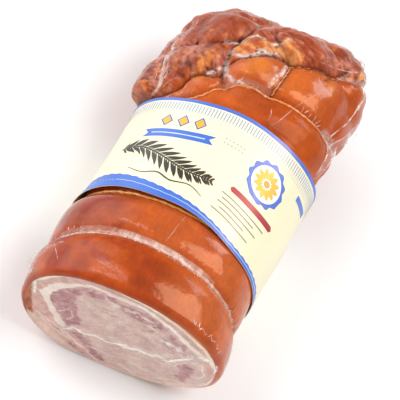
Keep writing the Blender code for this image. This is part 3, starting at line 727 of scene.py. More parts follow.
LEAN = (
    ((-60, 68), (-58, 82), (-50, 92), (-44, 100), (-34, 109), (-22, 111), (-21, 105), (-28, 101), (-37, 99),
     (-41, 90), (-37, 77), (-32, 63), (-28, 51), (-36, 40), (-43, 46), (-50, 57), (-57, 61)),
    ((-20, 111), (-15, 115), (-9, 114), (-9, 109), (-14, 108), (-19, 108)),
    ((-8, 112), (2, 115), (12, 114), (24, 111), (31, 107), (26, 102), (18, 103), (10, 102), (2, 101),
     (-6, 102)),
    ((32, 103), (39, 101), (48, 95), (50, 91), (43, 92), (35, 97)),
    ((-34, 34), (-27, 41), (-20, 37), (-12, 27), (-5, 19), (0, 13), (-4, 6), (-11, 9), (-18, 20), (-26, 29)),
    ((-30, 19), (-20, 9), (-6, 4), (-6, 1), (-20, 4), (-33, 14)),
    ((51, 60), (56, 70), (62, 68), (65, 58), (64, 45), (60, 33), (55, 40)),
)
STREAKS = (((-22, 93), (-12, 95)), ((-20, 88), (-5, 90)), ((16, 91), (26, 99)), ((4, 96), (14, 99)),
           ((30, 92), (42, 94)), ((40, 78), (52, 84)), ((33, 84), (46, 86)))
WHITE_LINES = (
    (0.6, ((-21, 109), (-15, 107), (-9, 107))), (0.35, ((-49, 56), (-44, 61), (-40, 68))),
    (0.3, ((-38, 66), (-36, 58), (-40, 48))), (0.9, ((-38, 33), (-27, 22), (-17, 15), (-5, 6))),
    (0.8, ((-62, 38), (-47, 34), (-36, 27))), (0.7, ((-58, 33), (-44, 26), (-30, 21))),
    (0.8, ((11, 15), (18, 14), (26, 8), (30, 4))), (0.6, ((33, 88), (40, 87), (47, 88))),
    (0.5, ((58, 76), (66, 80), (72, 66), (70, 54))), (0.5, ((1, 95), (9, 98), (20, 100), (29, 97))),
    (0.6, ((40, 60), (48, 58), (56, 74))), (0.5, ((30, 56), (38, 52), (46, 54))),
    (0.6, ((44, 20), (54, 30), (62, 33))), (0.5, ((20, 30), (32, 26), (42, 30))),
)
RIND_CORNER = ((-75, 81), (-72.5, 64), (-69.5, 51), (-67, 43), (-64, 35))
BRIGHT_KNOTS = ((-24, 41, 3.4), (-17, 44, 2.5), (9, 53, 3.5), (14, 55, 3.0), (35, 88, 3.5), (44, 87, 3.0))
TIPS = (((66, 91), (71, 89), (77, 84), (81, 77)), ((-73.5, 81), (-71, 73), (-70, 64)))


def cut_layers(x, z):
    """Colour and relief of the cut at places given in millimetres."""
    flat, true = np.stack([x, z * 0, z], -1), np.stack([x, z], -1)
    drift = np.stack([noise(flat, 8.0, seed) for seed in (71, 72)], -1)
    ripple = np.stack([noise(flat, 3.0, seed) for seed in (73, 74)], -1)
    slow, fine, small, patchy = drift[..., 0], ripple[..., 0], noise(flat, 1.3, 77), noise(flat, 11.0, 76)
    places = true + 0.9 * drift + 0.5 * ripple
    ragged = true + 1.4 * drift + ripple * (2.0, 2.2)
    ragged[..., 0] += 0.6 * small
    turned = np.stack([0.8 * x + 0.6 * z + 2 * slow, z * 0, 0.8 * z - 0.6 * x + 2 * drift[..., 1]], -1)
    fibre = 0.8 * noise(turned * (0.5, 1, 1), 2.4, 75) + 0.6 * noise(turned * (0.7, 1, 1), 1.2, 78)
    rim = depth_inside(true, FACE_OUTLINE)
    top = rise(z, 42, 64)
    within = soft_inside(places, FAT_LINE + SEAM[::-1], 1.5)
    pale_meat = layered(
        mixed((218, 188, 176), (208, 172, 162), 0.5 + 0.7 * patchy),
        ((226, 202, 190), np.clip(0.8 * fibre - 0.1, 0, 0.5)),
        ((196, 156, 150), np.clip(-0.8 * fibre - 0.25, 0, 0.45)),
    )
    lean_meat = layered(
        mixed((190, 138, 138), (170, 112, 116), 0.5 + 0.7 * patchy),
        ((142, 88, 96), np.clip(-1.2 * fibre - 0.1, 0, 0.65)),
        ((212, 172, 166), np.clip(1.1 * fibre - 0.25, 0, 0.7)),
    )
    fringe = within * near(away_from_line(true, FAT_LINE) - 13 - 3 * slow, 4) * (x > -15)
    width = np.where((z < 70) & (x < 0), 6.5, smooth_table(FAT_WIDTH, x)[..., 0]) * (1 + 0.22 * slow) / 2
    fat_share = np.clip((width - away_from_line(places, FAT_LINE)) / 0.9 + 0.5, 0, 1)
    white_share = np.zeros(x.shape)
    for width, path in WHITE_LINES:
        reach = width * (1 + 0.5 * drift[..., 1]) - away_from_line(places, path)
        white_share = np.maximum(white_share, np.clip(reach / 0.7 + 0.5, 0, 1))
    seam_away = away_from_line(true + ripple * (0.5, 0.6), SEAM)
    seam_share = np.clip((1.1 + 0.6 * slow + 0.3 * small - seam_away) / 0.6 + 0.5, 0, 1)
    for knot_x, knot_z, radius in BRIGHT_KNOTS:
        away = np.hypot(ragged[..., 0] - knot_x, (ragged[..., 1] - knot_z) * 1.6) / radius
        seam_share = np.maximum(seam_share, 0.8 * np.clip(1.5 - away, 0, 1))
    tips = np.maximum(1.7 - away_from_line(places, TIPS[0]) / 2.2, 1.5 - away_from_line(true, TIPS[1]) / 1.1)
    corner = np.interp(z, *np.array(RIND_CORNER[::-1], float).T[::-1]) - x + 0.4 * fine
    corner = np.clip(corner / 1.2 + 0.5, 0, 1) * (x < 0) * rise(z, 84, 81) * rise(z, 33, 36)
    bark = mixed((196, 112, 56), (150, 70, 36), 0.5 + 0.8 * noise(flat * (1, 1, 0.35), 2.2, 79))
    colour = layered(
        mixed((222, 184, 170), (208, 158, 146), 0.5 + 0.5 * fibre),
        ((196, 176, 160), 0.75 * near(rim - 4.9, 0.5) * top),
        ((214, 146, 136), near(rim - 6.8 - 0.5 * fine, 1.1) * (0.35 + 0.3 * slow)),
        (pale_meat, np.maximum(within, soft_inside(places, SEAM + LOWER_EDGE, 2.0))),
        *[((212, 170, 164), 0.75 * soft_inside(places, outline, 11.0)) for outline in LEAN],
        *[(lean_meat, 0.9 * soft_inside(ragged, outline, 2.8)) for outline in LEAN],
        *[((178, 132, 130), 0.7 * near(away_from_line(ragged, path), 1.2)) for path in STREAKS],
        ((232, 210, 198), fringe * np.clip(2 * fine - 0.1, 0, 0.8)),
        (mixed((248, 234, 222), (234, 210, 196), 0.5 + 0.6 * patchy), fat_share),
        ((240, 220, 208), 0.8 * white_share),
        ((232, 212, 200), 0.45 * near(seam_away, 2.6) * (z > 40)),
        ((250, 240, 232), seam_share),
        ((250, 240, 230), np.clip(tips, 0, 1) * np.clip(0.85 + small, 0, 1)),
        ((242, 220, 200), rise(3.6 + 0.5 * slow - rim, 0, 0.8) * (0.35 + 0.65 * top)),
        (mixed((226, 192, 176), (214, 146, 96), top), rise(rim, 0.9, 0.2)),
        (bark, corner),
    )
    relief = 0.35 * (seam_share + 0.5 * fat_share + 0.5 * white_share) + 0.16 * fibre + 0.25 * slow
    return colour * (1 + 0.04 * small)[..., None], relief * MM


def on_cut(x, z, relief=0.0):
    """The skew, slightly domed cut plane."""
    away = np.hypot(x / (80 * MM), (z - AXIS_HEIGHT) / (64 * MM))
    return cut_station(x, z) - CUT_DOME * np.clip(1 - away**2, 0, 1) - relief


def bore_radius(angle):
    """How far from the axis the wrap's inner side is at the cut, in a true direction."""
    own = np.linspace(0, 2 * math.pi, 1441)
    x, z = section(np.full(own.shape, 20 * MM), own)
    own_angle = np.interp(angle % (2 * math.pi), np.unwrap(np.arctan2(z - AXIS_HEIGHT, x)), own)
    round_table = [(30 * i, value) for i, value in enumerate((*WRAP_THICKNESS, WRAP_THICKNESS[0]))]
    thickness = smooth_table(round_table, np.degrees(angle) % 360)[..., 0] * MM
    x, z = section(np.zeros(np.shape(angle)), own_angle)
    return np.hypot(x, z - AXIS_HEIGHT) - thickness - RIM_DEPTH


def cut_rows(outer, inner, rows):
    """Rings across the cut from one loop of (x, z) to another, with their colours."""
    share = np.linspace(0, 1, rows)[:, None]
    x = outer[:, 0] + (inner[:, 0] - outer[:, 0]) * share
    z = outer[:, 1] + (inner[:, 1] - outer[:, 1]) * share
    colour, relief = cut_layers(x / MM, z / MM)
    relief = relief * np.clip(share * 8, 0, 1)
    return np.stack([x, on_cut(x, z, relief), z], -1), colour


def set_back(loop, *depths):
    """A loop of (x, z) repeated behind the cut."""
    x, z = loop.T
    return np.stack([np.column_stack([x, np.full(len(loop), depth), z]) for depth in depths])


def build_wrap():
    angle, runs, base, points, marks = wrap_surface()
    z, behind = points[..., 2], behind_cut(points)
    colours = layered(
        rind_colours(base, marks),
        ((172, 66, 24), 0.5 * near(behind, 7 * MM) * rise(z, 40 * MM, 60 * MM)),
        ((224, 190, 174), rise(behind, 4 * MM, 0) * rise(z, 36 * MM, 28 * MM)),
    )
    rim = points[0]
    direction = np.arctan2(rim[:, 2] - AXIS_HEIGHT, rim[:, 0])
    radius = bore_radius(direction) - 0.6 * MM
    mouth = np.stack([radius * np.cos(direction), AXIS_HEIGHT + radius * np.sin(direction)], -1)
    ring, ring_colours = cut_rows(rim[:, [0, 2]], mouth, 34)
    rows = np.concatenate([points[::-1], ring[1:], set_back(mouth, 6 * MM, 20 * MM)])
    shade = np.concatenate([colours[::-1], ring_colours[1:], np.repeat(ring_colours[-1:], 2, axis=0)])
    pole = np.array([[0, ROLL_LENGTH + 0.5 * MM, AXIS_HEIGHT]])
    column = np.arange(AROUND)
    cap = np.column_stack([np.full(AROUND, len(rows) * AROUND), (column + 1) % AROUND, column])
    all_points = np.concatenate([rows.reshape(-1, 3), pole])
    all_colours = np.concatenate([shade.reshape(-1, 3), shade[0, :1]])
    meat, brown = marks["meat"], marks["brown"]
    rough = np.maximum(meat * (0.55 - 0.1 * brown), marks["fat"])
    before_waist = near(runs - tie_run(FRONT_TIE, angle) + 9 * MM, 5 * MM)
    third_bulge = rise(marks["station"], 184, 188) * (runs < tie_run(BACK_TIE, angle))
    dull = np.maximum.reduce([0.4 * meat * brown, 0.15 * meat, 0.8 * before_waist, 0.65 * third_bulge])
    values = {}
    for key, outside, elsewhere in (("rough", rough, 0.05), ("gloss", 1 - dull, 0.8)):
        outside = outside[::-1].ravel()
        values[key] = np.concatenate([outside, np.full(len(all_points) - outside.size, elsewhere)])
    wrap = add_mesh("wrap_rind_and_belly", all_points, [band_faces(len(rows), AROUND), cap], RIND_PAINT,
                    all_colours, values, sharp=60)
    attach(wrap, "root")
    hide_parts("belly_wrap")
    return wrap


def build_loin(name, node, upper):
    """One loin: its face on the cut in fine rings, and its side running back."""
    seam = np.array(SEAM, float) * MM
    seam_steps = np.linspace(0, len(seam) - 1, 180)
    seam = np.stack([np.interp(seam_steps, np.arange(len(seam)), seam[:, k]) for k in (0, 1)], -1)
    left, right = np.arctan2(seam[[0, -1], 1] - AXIS_HEIGHT, seam[[0, -1], 0]) % (2 * math.pi)
    angle = np.linspace(right, left, 300) if upper else np.linspace(left, right + 2 * math.pi, 300)
    radius = bore_radius(angle)
    arc = np.stack([radius * np.cos(angle), AXIS_HEIGHT + radius * np.sin(angle)], -1)
    outline = np.concatenate([arc, seam[1:-1] if upper else seam[1:-1][::-1]])
    heart = outline.mean(axis=0) * 0.999 + outline * 0.001
    face, colours = cut_rows(outline, heart, 84)
    rows = np.concatenate([set_back(outline, 20 * MM, 6 * MM), face])
    shade = np.concatenate([np.repeat(colours[:1], 2, axis=0), colours])
    piece = add_mesh(name, rows.reshape(-1, 3), band_faces(len(rows), len(outline)), CUT_PAINT,
                     shade.reshape(-1, 3), {"gloss": np.full(rows[..., 0].size, 0.7)})
    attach(piece, "root")
    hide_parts(node)


wrap = build_wrap()
build_loin("upper_loin_cut", "loin_upper", True)
build_loin("lower_loin_cut", "loin_lower", False)

# Twine
TWINE_RADIUS, TWINE_SIDES, PLIES, PLY_PITCH = 1.1 * MM, 15, 3, 7 * MM
# Each loop with how deep it lies sunk, in radii of the twine, and how pale it is
LOOPS = (("front", 1.0, 0.0), ("middle", 0.3, 0.7), ("back", 1.1, 0.2), ("end", 2.0, 0.0))
DROP_FROM = 30 * MM  # how far outside the roll things start that are laid on it


def twine_paint():
    paint = Paint("roasted_twine", Roughness=0.6, Coat_Weight=0.7, Coat_Roughness=0.12)
    strands = paint.range(paint.grain(700, 3), 0.35, 0.65, 0.75, 1.2)
    colour = paint.shaded(paint.kept("tint", "Color"), strands)
    return paint.set(Base_Color=colour, Normal=paint.bump(paint.grain(2600, 2), 0.1 * MM, 0.6))


def surface_tree(piece):
    shell = bmesh.new()
    shell.from_mesh(piece.data)
    tree = BVHTree.FromBMesh(shell)
    shell.free()
    return tree


TWINE_PAINT = twine_paint()
WRAP_TREE = surface_tree(wrap)


def ways_out(runs, angle):
    """The way out of the smooth roll."""
    step, turn = 1 * MM, math.radians(1)
    along = skin(runs + step, angle) - skin(runs - step, angle)
    return unit(np.cross(along, skin(runs, angle + turn) - skin(runs, angle - turn)))


def dropped(points, ways):
    """Where the meat's surface is met, coming from outside towards each point."""
    met = []
    for point, way in zip(points - ORIGIN, ways):
        hit = WRAP_TREE.ray_cast(Vector(point + way * DROP_FROM), Vector(-way), 2 * DROP_FROM)[0]
        met.append(np.array(hit or WRAP_TREE.find_nearest(Vector(point))[0]) + ORIGIN)
    return np.array(met)


def laid(runs, angle, lift=0.0):
    """A line laid on the meat and lifted off it, and the ways out along it."""
    ways = ways_out(runs, angle)
    return dropped(skin(runs, angle), ways) + ways * lift, ways


def smoothed(values, reach, closed=False):
    """A line with its jolts evened out."""
    kernel = np.hanning(2 * reach + 3)[1:-1]
    kernel = kernel / kernel.sum()
    pad = np.pad(values, ((reach, reach), (0, 0)), mode="wrap" if closed else "edge")
    return np.stack([np.convolve(pad[:, k], kernel, mode="valid") for k in range(values.shape[1])], -1)


def lay_twine(name, node, runs, angle, closed, sink, pale=0.0):
    """Twine of three plies laid on the meat."""
    path, ways = laid(runs, angle, TWINE_RADIUS * (1 - sink))
    path = smoothed(path, 4, closed)
    if closed:
        along = unit(np.roll(path, -1, axis=0) - np.roll(path, 1, axis=0))
    else:
        along = unit(np.gradient(path, axis=0))
    away = unit(ways - (ways * along).sum(1, keepdims=True) * along)
    side = np.cross(along, away)
    travelled = np.concatenate([[0], np.cumsum(np.linalg.norm(np.diff(path, axis=0), axis=1))])
    twist = travelled / travelled[-1] * round(travelled[-1] / PLY_PITCH) * 2 * math.pi
    turn = np.arange(TWINE_SIDES) * 2 * math.pi / TWINE_SIDES
    plies = np.cos(PLIES * turn - twist[:, None])
    radius = TWINE_RADIUS * (0.88 + 0.16 * plies)
    round_twine = np.cos(turn)[:, None] * away[:, None] + np.sin(turn)[:, None] * side[:, None]
    rings = path[:, None] + radius[..., None] * round_twine
    # lighter on the crests of the plies as painted light, darker between them as painted shade
    shade = layered(
        mixed((176, 92, 40), (226, 154, 88), 0.5 + 0.5 * plies),
        ((198, 112, 54), 0.3 + 0.4 * noise(rings, 12 * MM, 81)),
        ((248, 178, 92), pale),
    )
    faces = band_faces(len(path), TWINE_SIDES, closed_rows=closed)
    piece = add_mesh(name, rings.reshape(-1, 3), faces, TWINE_PAINT, shade.reshape(-1, 3))
    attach(piece, "root")
    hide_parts(node)


circle = np.arange(900) * 2 * math.pi / 900
for (place, sink, pale), (tie, _) in zip(LOOPS, TIES):
    lay_twine("cord_" + place, "twine_" + place, tie_run(tie, circle), circle, True, sink, pale)
link_start, link_end = np.array(LINK_ENDS)
station, degrees = (link_start + (link_end - link_start) * np.linspace(0.02, 0.98, 90)[:, None]).T
lay_twine("cord_link", "twine_link", run_of(station * MM), np.radians(degrees), False, 1.7)

# Label
LABEL_DEPTH = 102.0  # the label's own width in millimetres, along the roll
PAPER, INK, INK_STEP = 0.4, 0.07, 0.05  # thickness, and how high the first and each further print lies on it
ARC_ANGLES = np.linspace(-math.pi, 3 * math.pi, 2881)
ARC_X, ARC_Z = section(np.full(ARC_ANGLES.shape, 130 * MM), ARC_ANGLES)
ARC_LENGTH = np.concatenate([[0], np.cumsum(np.hypot(np.diff(ARC_X), np.diff(ARC_Z)))]) / MM
ARC_TOP, ARC_FIRST, ARC_LAST = np.interp((math.pi / 2, 0, 2 * math.pi), ARC_ANGLES, ARC_LENGTH)
PERIMETER = ARC_LAST - ARC_FIRST
CREAM, PAPER_WHITE = linear(249, 238, 202), linear(250, 250, 248)
BLUE, BLUE_DARK, BLUE_PALE = linear(62, 110, 204), linear(46, 90, 182), linear(170, 196, 236)
GOLD, GOLD_DARK, RED = linear(238, 178, 40), linear(214, 140, 30), linear(166, 36, 60)
DARK_INK, GREY_INK, GREY_PALE = linear(50, 48, 42), linear(126, 124, 114), linear(176, 178, 176)


def label_point(u, d, lift):
    """A place on the label: u mm round from its top towards +X, d mm from its back edge, lifted off it."""
    u, d = np.asarray(u, float), np.asarray(d, float)
    angle = np.interp(ARC_TOP - u, ARC_LENGTH, ARC_ANGLES)
    front, back = tie_run(LABEL_FRONT, angle), tie_run(LABEL_BACK, angle)
    run = back + (front - back) * d / LABEL_DEPTH
    wave = 0.18 * MM * np.sin(u * 0.11 + 1) * np.sin(d * 0.06)
    height = LABEL_STAND_OFF + LABEL_THICKNESS + lift * MM + wave
    return skin(run, angle) + ways_out(run, angle) * height[..., None]


def paper_paint(name, colour):
    paint = Paint(name, Roughness=0.45, Coat_Weight=0.35, Coat_Roughness=0.18)
    fibres = paint.range(paint.grain(800, 4), 0.3, 0.7, 0.96, 1.04)
    tint = paint.shaded((*colour,), fibres)
    return paint.set(Base_Color=tint, Normal=paint.bump(paint.grain(1800, 3), 0.03 * MM, 0.4))


def build_label():
    """The paper band, closed round the roll."""
    columns = 480
    u = np.arange(columns) * PERIMETER / columns - PERIMETER / 2
    u, d = np.meshgrid(u, np.linspace(0, LABEL_DEPTH, 36))
    rows = np.concatenate([label_point(u, d, 0.0), label_point(u, d, -PAPER)[::-1]])
    piece = add_mesh("label_band", rows.reshape(-1, 3), band_faces(len(rows), columns, closed_rows=True),
                     paper_paint("label_paper", CREAM), sharp=40)
    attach(piece, "root")
    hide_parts("paper_label")


def printed(name, shapes, colour, level=0):
    """Flat printed fields on the label, outlined in label millimetres and cut finely to bend with it."""
    shell = bmesh.new()
    for shape in shapes:
        corners = [shell.verts.new((u, d, 0)) for u, d in shape]
        shell.faces.new(corners)
    bmesh.ops.triangulate(shell, faces=shell.faces)
    for axis, step in enumerate((3.0, 8.0)):
        places = [v.co[axis] for v in shell.verts]
        across = np.eye(3)[axis]
        for cut in np.arange(math.ceil(min(places) / step) * step, max(places), step):
            geometry = shell.verts[:] + shell.edges[:] + shell.faces[:]
            bmesh.ops.bisect_plane(shell, geom=geometry, plane_co=across * cut, plane_no=across, dist=1e-5)
    bmesh.ops.triangulate(shell, faces=shell.faces)
    shell.verts.ensure_lookup_table()
    flat = np.array([v.co[:2] for v in shell.verts])
    faces = np.array([[v.index for v in face.verts] for face in shell.faces])
    shell.free()
    corners = flat[faces]
    turned = np.cross(corners[:, 1] - corners[:, 0], corners[:, 2] - corners[:, 0]) > 0
    faces[turned] = faces[turned][:, ::-1]
    points = label_point(flat[:, 0], flat[:, 1], INK + INK_STEP * level)
    piece = add_mesh(name, points, faces, paper_paint(name, colour))
    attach(piece, "root")


def disc(u, d, radius, count=40):
    turn = np.arange(count) * 2 * math.pi / count
    return list(zip(u + radius * np.cos(turn), d + radius * np.sin(turn)))


def stroke(path, widths):
    """A ribbon along a path, as quads."""
    path = np.array(path, float)
    widths = np.broadcast_to(np.asarray(widths, float), len(path))
    along = np.gradient(path, axis=0)
    side = unit(np.stack([-along[:, 1], along[:, 0]], -1)) * widths[:, None] / 2
    left, right = path + side, path - side
    return [[tuple(corner) for corner in quad] for quad in zip(left, right, right[1:], left[1:])]


def leaf(u, d, heading, length, width):
    turn = np.linspace(0, 1, 9)
    half = width / 2 * np.sin(math.pi * turn) ** 0.8
    outline = [*zip(turn * length, half), *zip(turn[7:0:-1] * length, -half[7:0:-1])]
    c, s = math.cos(heading), math.sin(heading)
    return [(u + a * c - b * s, d + a * s + b * c) for a, b in outline]


def bars(starts, width, first, last):
    return [[(u, first), (u + width, first), (u + width, last), (u, last)] for u in starts]


def border_prints(half):
    """Stripes along both edges, the front one deep at the left and slim at the right, and a tick border."""
    printed("stripe_back", bars(np.arange(-half, half - 5.99, 6.0), 6.0, 0.0, 3.2), BLUE)
    ticks = np.arange(-half + 4, half - 4, 2.5)
    printed("ticks_strong", bars(ticks, 0.95, 4.6, 12.5), linear(150, 170, 205))
    printed("ticks_faint", bars(ticks, 0.95, 12.5, 17.5), linear(212, 213, 208))
    u = np.arange(-half, half, 1.5)
    depth = 4.0 + (11.5 - 11.5 * eased(rise(u, -92, 38))) * rise(u, -150, -110)
    depth = depth + 0.9 * np.abs(np.sin(u * math.pi / 7.5))
    edge = [(a, LABEL_DEPTH - b) for a, b in zip(u, depth)]
    quads = [[a, b, (b[0], LABEL_DEPTH), (a[0], LABEL_DEPTH)] for a, b in zip(edge, edge[1:])]
    printed("band_front", quads, BLUE)
    line = [(a, LABEL_DEPTH - b * 0.55) for a, b in zip(u[::3], depth[::3])]
    printed("band_line", stroke(line, 0.7), BLUE_PALE, 1)


def banner_prints():
    """A straight banner with three lozenges over it."""
    banner = [(-66, 36), (-10, 30), (-14, 34.5), (-9.5, 38.5), (-65.5, 44.5), (-62, 40)]
    printed("banner", [banner], BLUE, 1)
    printed("banner_line", stroke(((-59, 39.6), (-17, 35.1)), 1.0), linear(206, 222, 248), 2)
    edge_and_fill = (("lozenges_edge", 5, 6.5, BLUE_DARK, 1), ("lozenges", 3.8, 5, GOLD, 2))
    for name, wide, high, colour, level in edge_and_fill:
        lozenges = [[(u - wide, d), (u, d - high), (u + wide, d), (u, d + high)]
                    for u, d in ((-52, 25), (-39, 23.6), (-26, 22.2))]
        printed(name, lozenges, colour, level)


def sprig_prints():
    """A sprig of herbs in dark ink, with a plain flourish under it."""
    stem = curve(((-78, 58), (-62, 56), (-46, 60), (-30, 66), (-14, 70), (4, 68)), 40)
    needles = []
    for i in range(1, len(stem) - 1):
        heading = math.atan2(*(stem[i + 1] - stem[i - 1])[::-1])
        reach = 12.0 * math.sin(math.pi * (0.12 + 0.85 * i / len(stem))) + 2.5
        splay = 0.85 + 0.12 * math.sin(i * 2.1)
        needles += [leaf(*stem[i], heading + side * splay, reach, 1.9) for side in (-1, 1)]
    printed("sprig_stem", stroke(stem, 1.3), DARK_INK, 1)
    printed("sprig_needles", needles, DARK_INK, 2)
    flourish = curve(((-60, 80), (-48, 83), (-36, 79.5), (-24, 83.5), (-10, 81), (2, 85)), 40)
    printed("flourish", stroke(flourish, 1.5 - 0.9 * np.abs(np.linspace(-1, 1, 40))), DARK_INK, 1)


def rosette_prints():
    """A gold rosette in a scalloped blue ring, with a plain dark red bar under it."""
    u, d = 42, 38
    turn = np.arange(72) * 2 * math.pi / 72
    reach = 18.0 + 1.1 * np.cos(12 * turn)
    printed("rosette_edge", [list(zip(u + reach * np.cos(turn), d + reach * np.sin(turn)))], BLUE, 1)
    printed("rosette_field", [disc(u, d, 14.6)], PAPER_WHITE, 2)
    ways = np.arange(12) * math.pi / 6
    petals = [leaf(u + 3.4 * math.cos(way), d + 3.4 * math.sin(way), way, 9.2, 4.4) for way in ways]
    printed("rosette_petals", petals, GOLD, 3)
    printed("rosette_heart", [disc(u, d, 3.0, 20)], GOLD_DARK, 4)
    printed("red_bar", [[(20, 60), (64, 60), (66, 62.5), (64, 65), (20, 65), (18, 62.5)]], RED, 1)
    dots_grey = [disc(along, down, 0.8, 10) for down in (27, 31) for along in np.arange(-3, 16, 3.2)]
    printed("dots_grey", dots_grey, GREY_PALE, 1)


def rule_prints():
    """Plain grey rules where small print would be, and a blue block."""
    rules = []
    for i, (start, end) in enumerate(((14, 60), (16, 50), (14, 56), (18, 44), (12, 52))):
        rules += stroke(((start, 70 + i * 4.2), (end, 70 + i * 4.2)), 1.0)
    printed("small_rules", rules, GREY_INK, 1)
    printed("block_right", bars((74,), 24, 20, 25), BLUE, 1)


build_label()
border_prints(PERIMETER / 2)
banner_prints()
sprig_prints()
rosette_prints()
rule_prints()

# Clear film. Free folds, as (station, angle, height)
FILM_RIGHT = (
    (300, 34, 0.6), (292, 24, 3), (281, 16, 5), (264, 17, 6.5), (246, 22, 7), (228, 27, 7), (213, 27, 6),
    (202, 24, 4), (194, 20, 0.6),
)
FILM_LEFT = ((274, 158, 0.6), (256, 156, 2), (238, 154, 3.5), (220, 152, 4), (204, 151, 3), (194, 151, 0.6))
FILM_FRONT = ((7, 176, 0.6), (9, 170, 3.5), (12, 163, 5), (15, 156, 4), (19, 149, 2), (23, 143, 0.6))
FILM_EAR = (
    (296, 98, 0.6), (301, 90, 5), (305, 81, 8), (307, 71, 9.5), (307, 61, 8), (304, 52, 5), (300, 44, 0.6),
)
# Fine creases: half width and height in millimetres, how white, and the way as (angle, station)
FILM_CREASES = (
    (0.35, 0.3, 0.45, ((36, 300), (50, 278), (64, 235), (69, 220), (74, 199), (76, 191))),
    (0.35, 0.3, 0.5, ((80, 206), (78, 195))),
    (0.3, 0.25, 0.35, ((90, 84), (91, 66), (92, 51))),
    (0.5, 0.7, 1.0, ((156, 26), (147, 31), (134, 35), (119, 40), (106, 43))),
    (0.4, 0.5, 1.0, ((152, 35), (140, 38), (128, 41), (112, 45), (100, 47))),
    (0.4, 0.4, 0.9, ((160, 243), (163.5, 237), (157, 219), (154, 207), (153.5, 198), (156, 191), (160, 187))),
    (0.4, 0.4, 0.8, ((171, 268), (161, 247), (161, 236), (155, 220), (152, 210), (149, 202), (152, 195),
                     (155.5, 189))),
    (0.35, 0.4, 0.7, ((168, 255), (166, 240), (160, 221), (157, 207), (157, 198), (161, 190))),
    (0.3, 0.3, 0.6, ((146, 206), (150, 200), (154, 192))),
    (0.3, 0.3, 0.6, ((143, 203), (148, 196), (153, 189))),
    (0.5, 0.6, 0.8, ((114, 230), (111.5, 218), (105, 213.5), (97, 214.5))),
    (0.6, 0.8, 1.0, ((36, 300), (31, 286), (28, 270), (28, 255), (33, 232), (29, 221), (24, 206), (20, 193))),
    (0.4, 0.5, 1.0, ((36, 299), (42, 290), (56, 281), (72, 268))),
    (0.5, 0.6, 0.8, ((119, 249), (114, 253), (108, 259), (99, 264))),
    (0.4, 0.5, 0.6, ((112, 237), (104, 240), (97, 248), (91, 256))),
    (0.4, 0.5, 1.0, ((141, 6), (146, 14), (152, 22))),
    (0.4, 0.5, 1.0, ((-160, 30), (170, 44), (150, 60))),
    (0.4, 0.5, 1.0, ((8, 40), (-6, 44), (-24, 40))),
    (0.4, 0.5, 1.0, ((200, 196), (204, 230), (214, 262), (226, 290))),
    (0.4, 0.5, 1.0, ((0, 196), (-6, 226), (-20, 262), (-34, 290))),
    (0.4, 0.5, 1.0, ((250, 210), (262, 240), (252, 276))),
)
# Broad sweeps of wrinkled film, in the same terms
FILM_SWEEPS = (
    (4.2, 0.6, 0.85, ((160, 245), (163.5, 237), (157, 219), (154, 207), (153, 198), (155, 191), (160, 187),
                      (168, 183))),
    (3.2, 0.5, 0.6, ((174, 270), (166, 254), (161, 243), (160, 232))),
    (2.2, 0.5, 0.6, ((113, 232), (112, 224), (110.5, 217), (104, 214))),
    (1.8, 0.5, 0.6, ((84.5, 254), (85, 240), (86.5, 226))),
)
# Short ticks that cross the twine or the rim: first and last angle, station, how many, length in millimetres
FILM_TICKS = ((64, 48, 224, 6, 6.5), (92, 104, 216, 4, 5.0), (61, 32, 10.0, 14, 3.8), (112, 70, 44, 22, 3.2),
              (60, 24, 44, 8, 3.5), (38, 20, 228, 5, 5.0), (152, 120, 40, 9, 3.5), (76, 60, 257, 4, 5.0),
              (150, 210, 34, 12, 4.0), (-10, -70, 42, 12, 4.0), (-10, -60, 225, 9, 5.0))
# Crumpled knots, as (angle, station, radius)
FILM_KNOTS = ((36, 300, 5.5), (31, 292, 4.5), (166, 1, 2.6), (24, -2.5, 3.5), (113, 224, 3.5))
# Film over the waists: tie, first and last angle, how far it reaches before and behind, and how white it is
BRIDGES = (
    (FRONT_TIE, 121, 57, -2.8, 3.8, 0.95), (FRONT_TIE, 160, 118, -5.0, 4.0, 0.35),
    (FRONT_TIE, 62, 10, -6.5, 1.5, 0.5), (FRONT_TIE, 10, -80, -5.0, 5.0, 0.3),
    (FRONT_TIE, 250, 165, -5.0, 5.0, 0.3), (BACK_TIE, 44, 24, -2.0, 5.0, 0.5),
    (BACK_TIE, 110, 84, 0.5, 4.5, 0.2), (END_TIE, 52, 28, -2.5, 2.5, 0.35),
    (BACK_TIE, 20, -70, -4.0, 5.0, 0.35),
)


def film_paint(name, tint, clear, cloudy, coat):
    """Clear film: nearly unseen where it is flat, white where it wrinkles."""
    paint = Paint(name, Base_Color=(*tint, 1), Roughness=0.2, Coat_Weight=coat, Coat_Roughness=0.05)
    haze = paint.range(paint.grain(300, 4, (1, 0.45, 1)), 0.4, 0.68)
    haze = paint.maths("ADD", paint.maths("MULTIPLY", haze, cloudy), clear)
    veil = paint.maths("ADD", paint.maths("MULTIPLY", paint.kept("fold"), haze), 0.05)
    height = paint.bump(paint.grain(420, 3, (1, 0.4, 1)), 0.35 * MM, 0.6)
    return paint.set(Alpha=paint.maths("MINIMUM", veil, 0.95), Normal=height)


FILM_PAINT = film_paint("film_fold", (0.96, 0.93, 0.92), 0.3, 0.65, 1.0)
VEIL_PAINT = film_paint("film_veil", (1.0, 0.8, 0.7), 0.34, 0.35, 0.25)


def smooth_path(places, count):
    """A smooth path through (angle, station) places, as runs and angles."""
    angle, station = curve(places, count).T
    return run_of(station * MM), np.radians(angle)


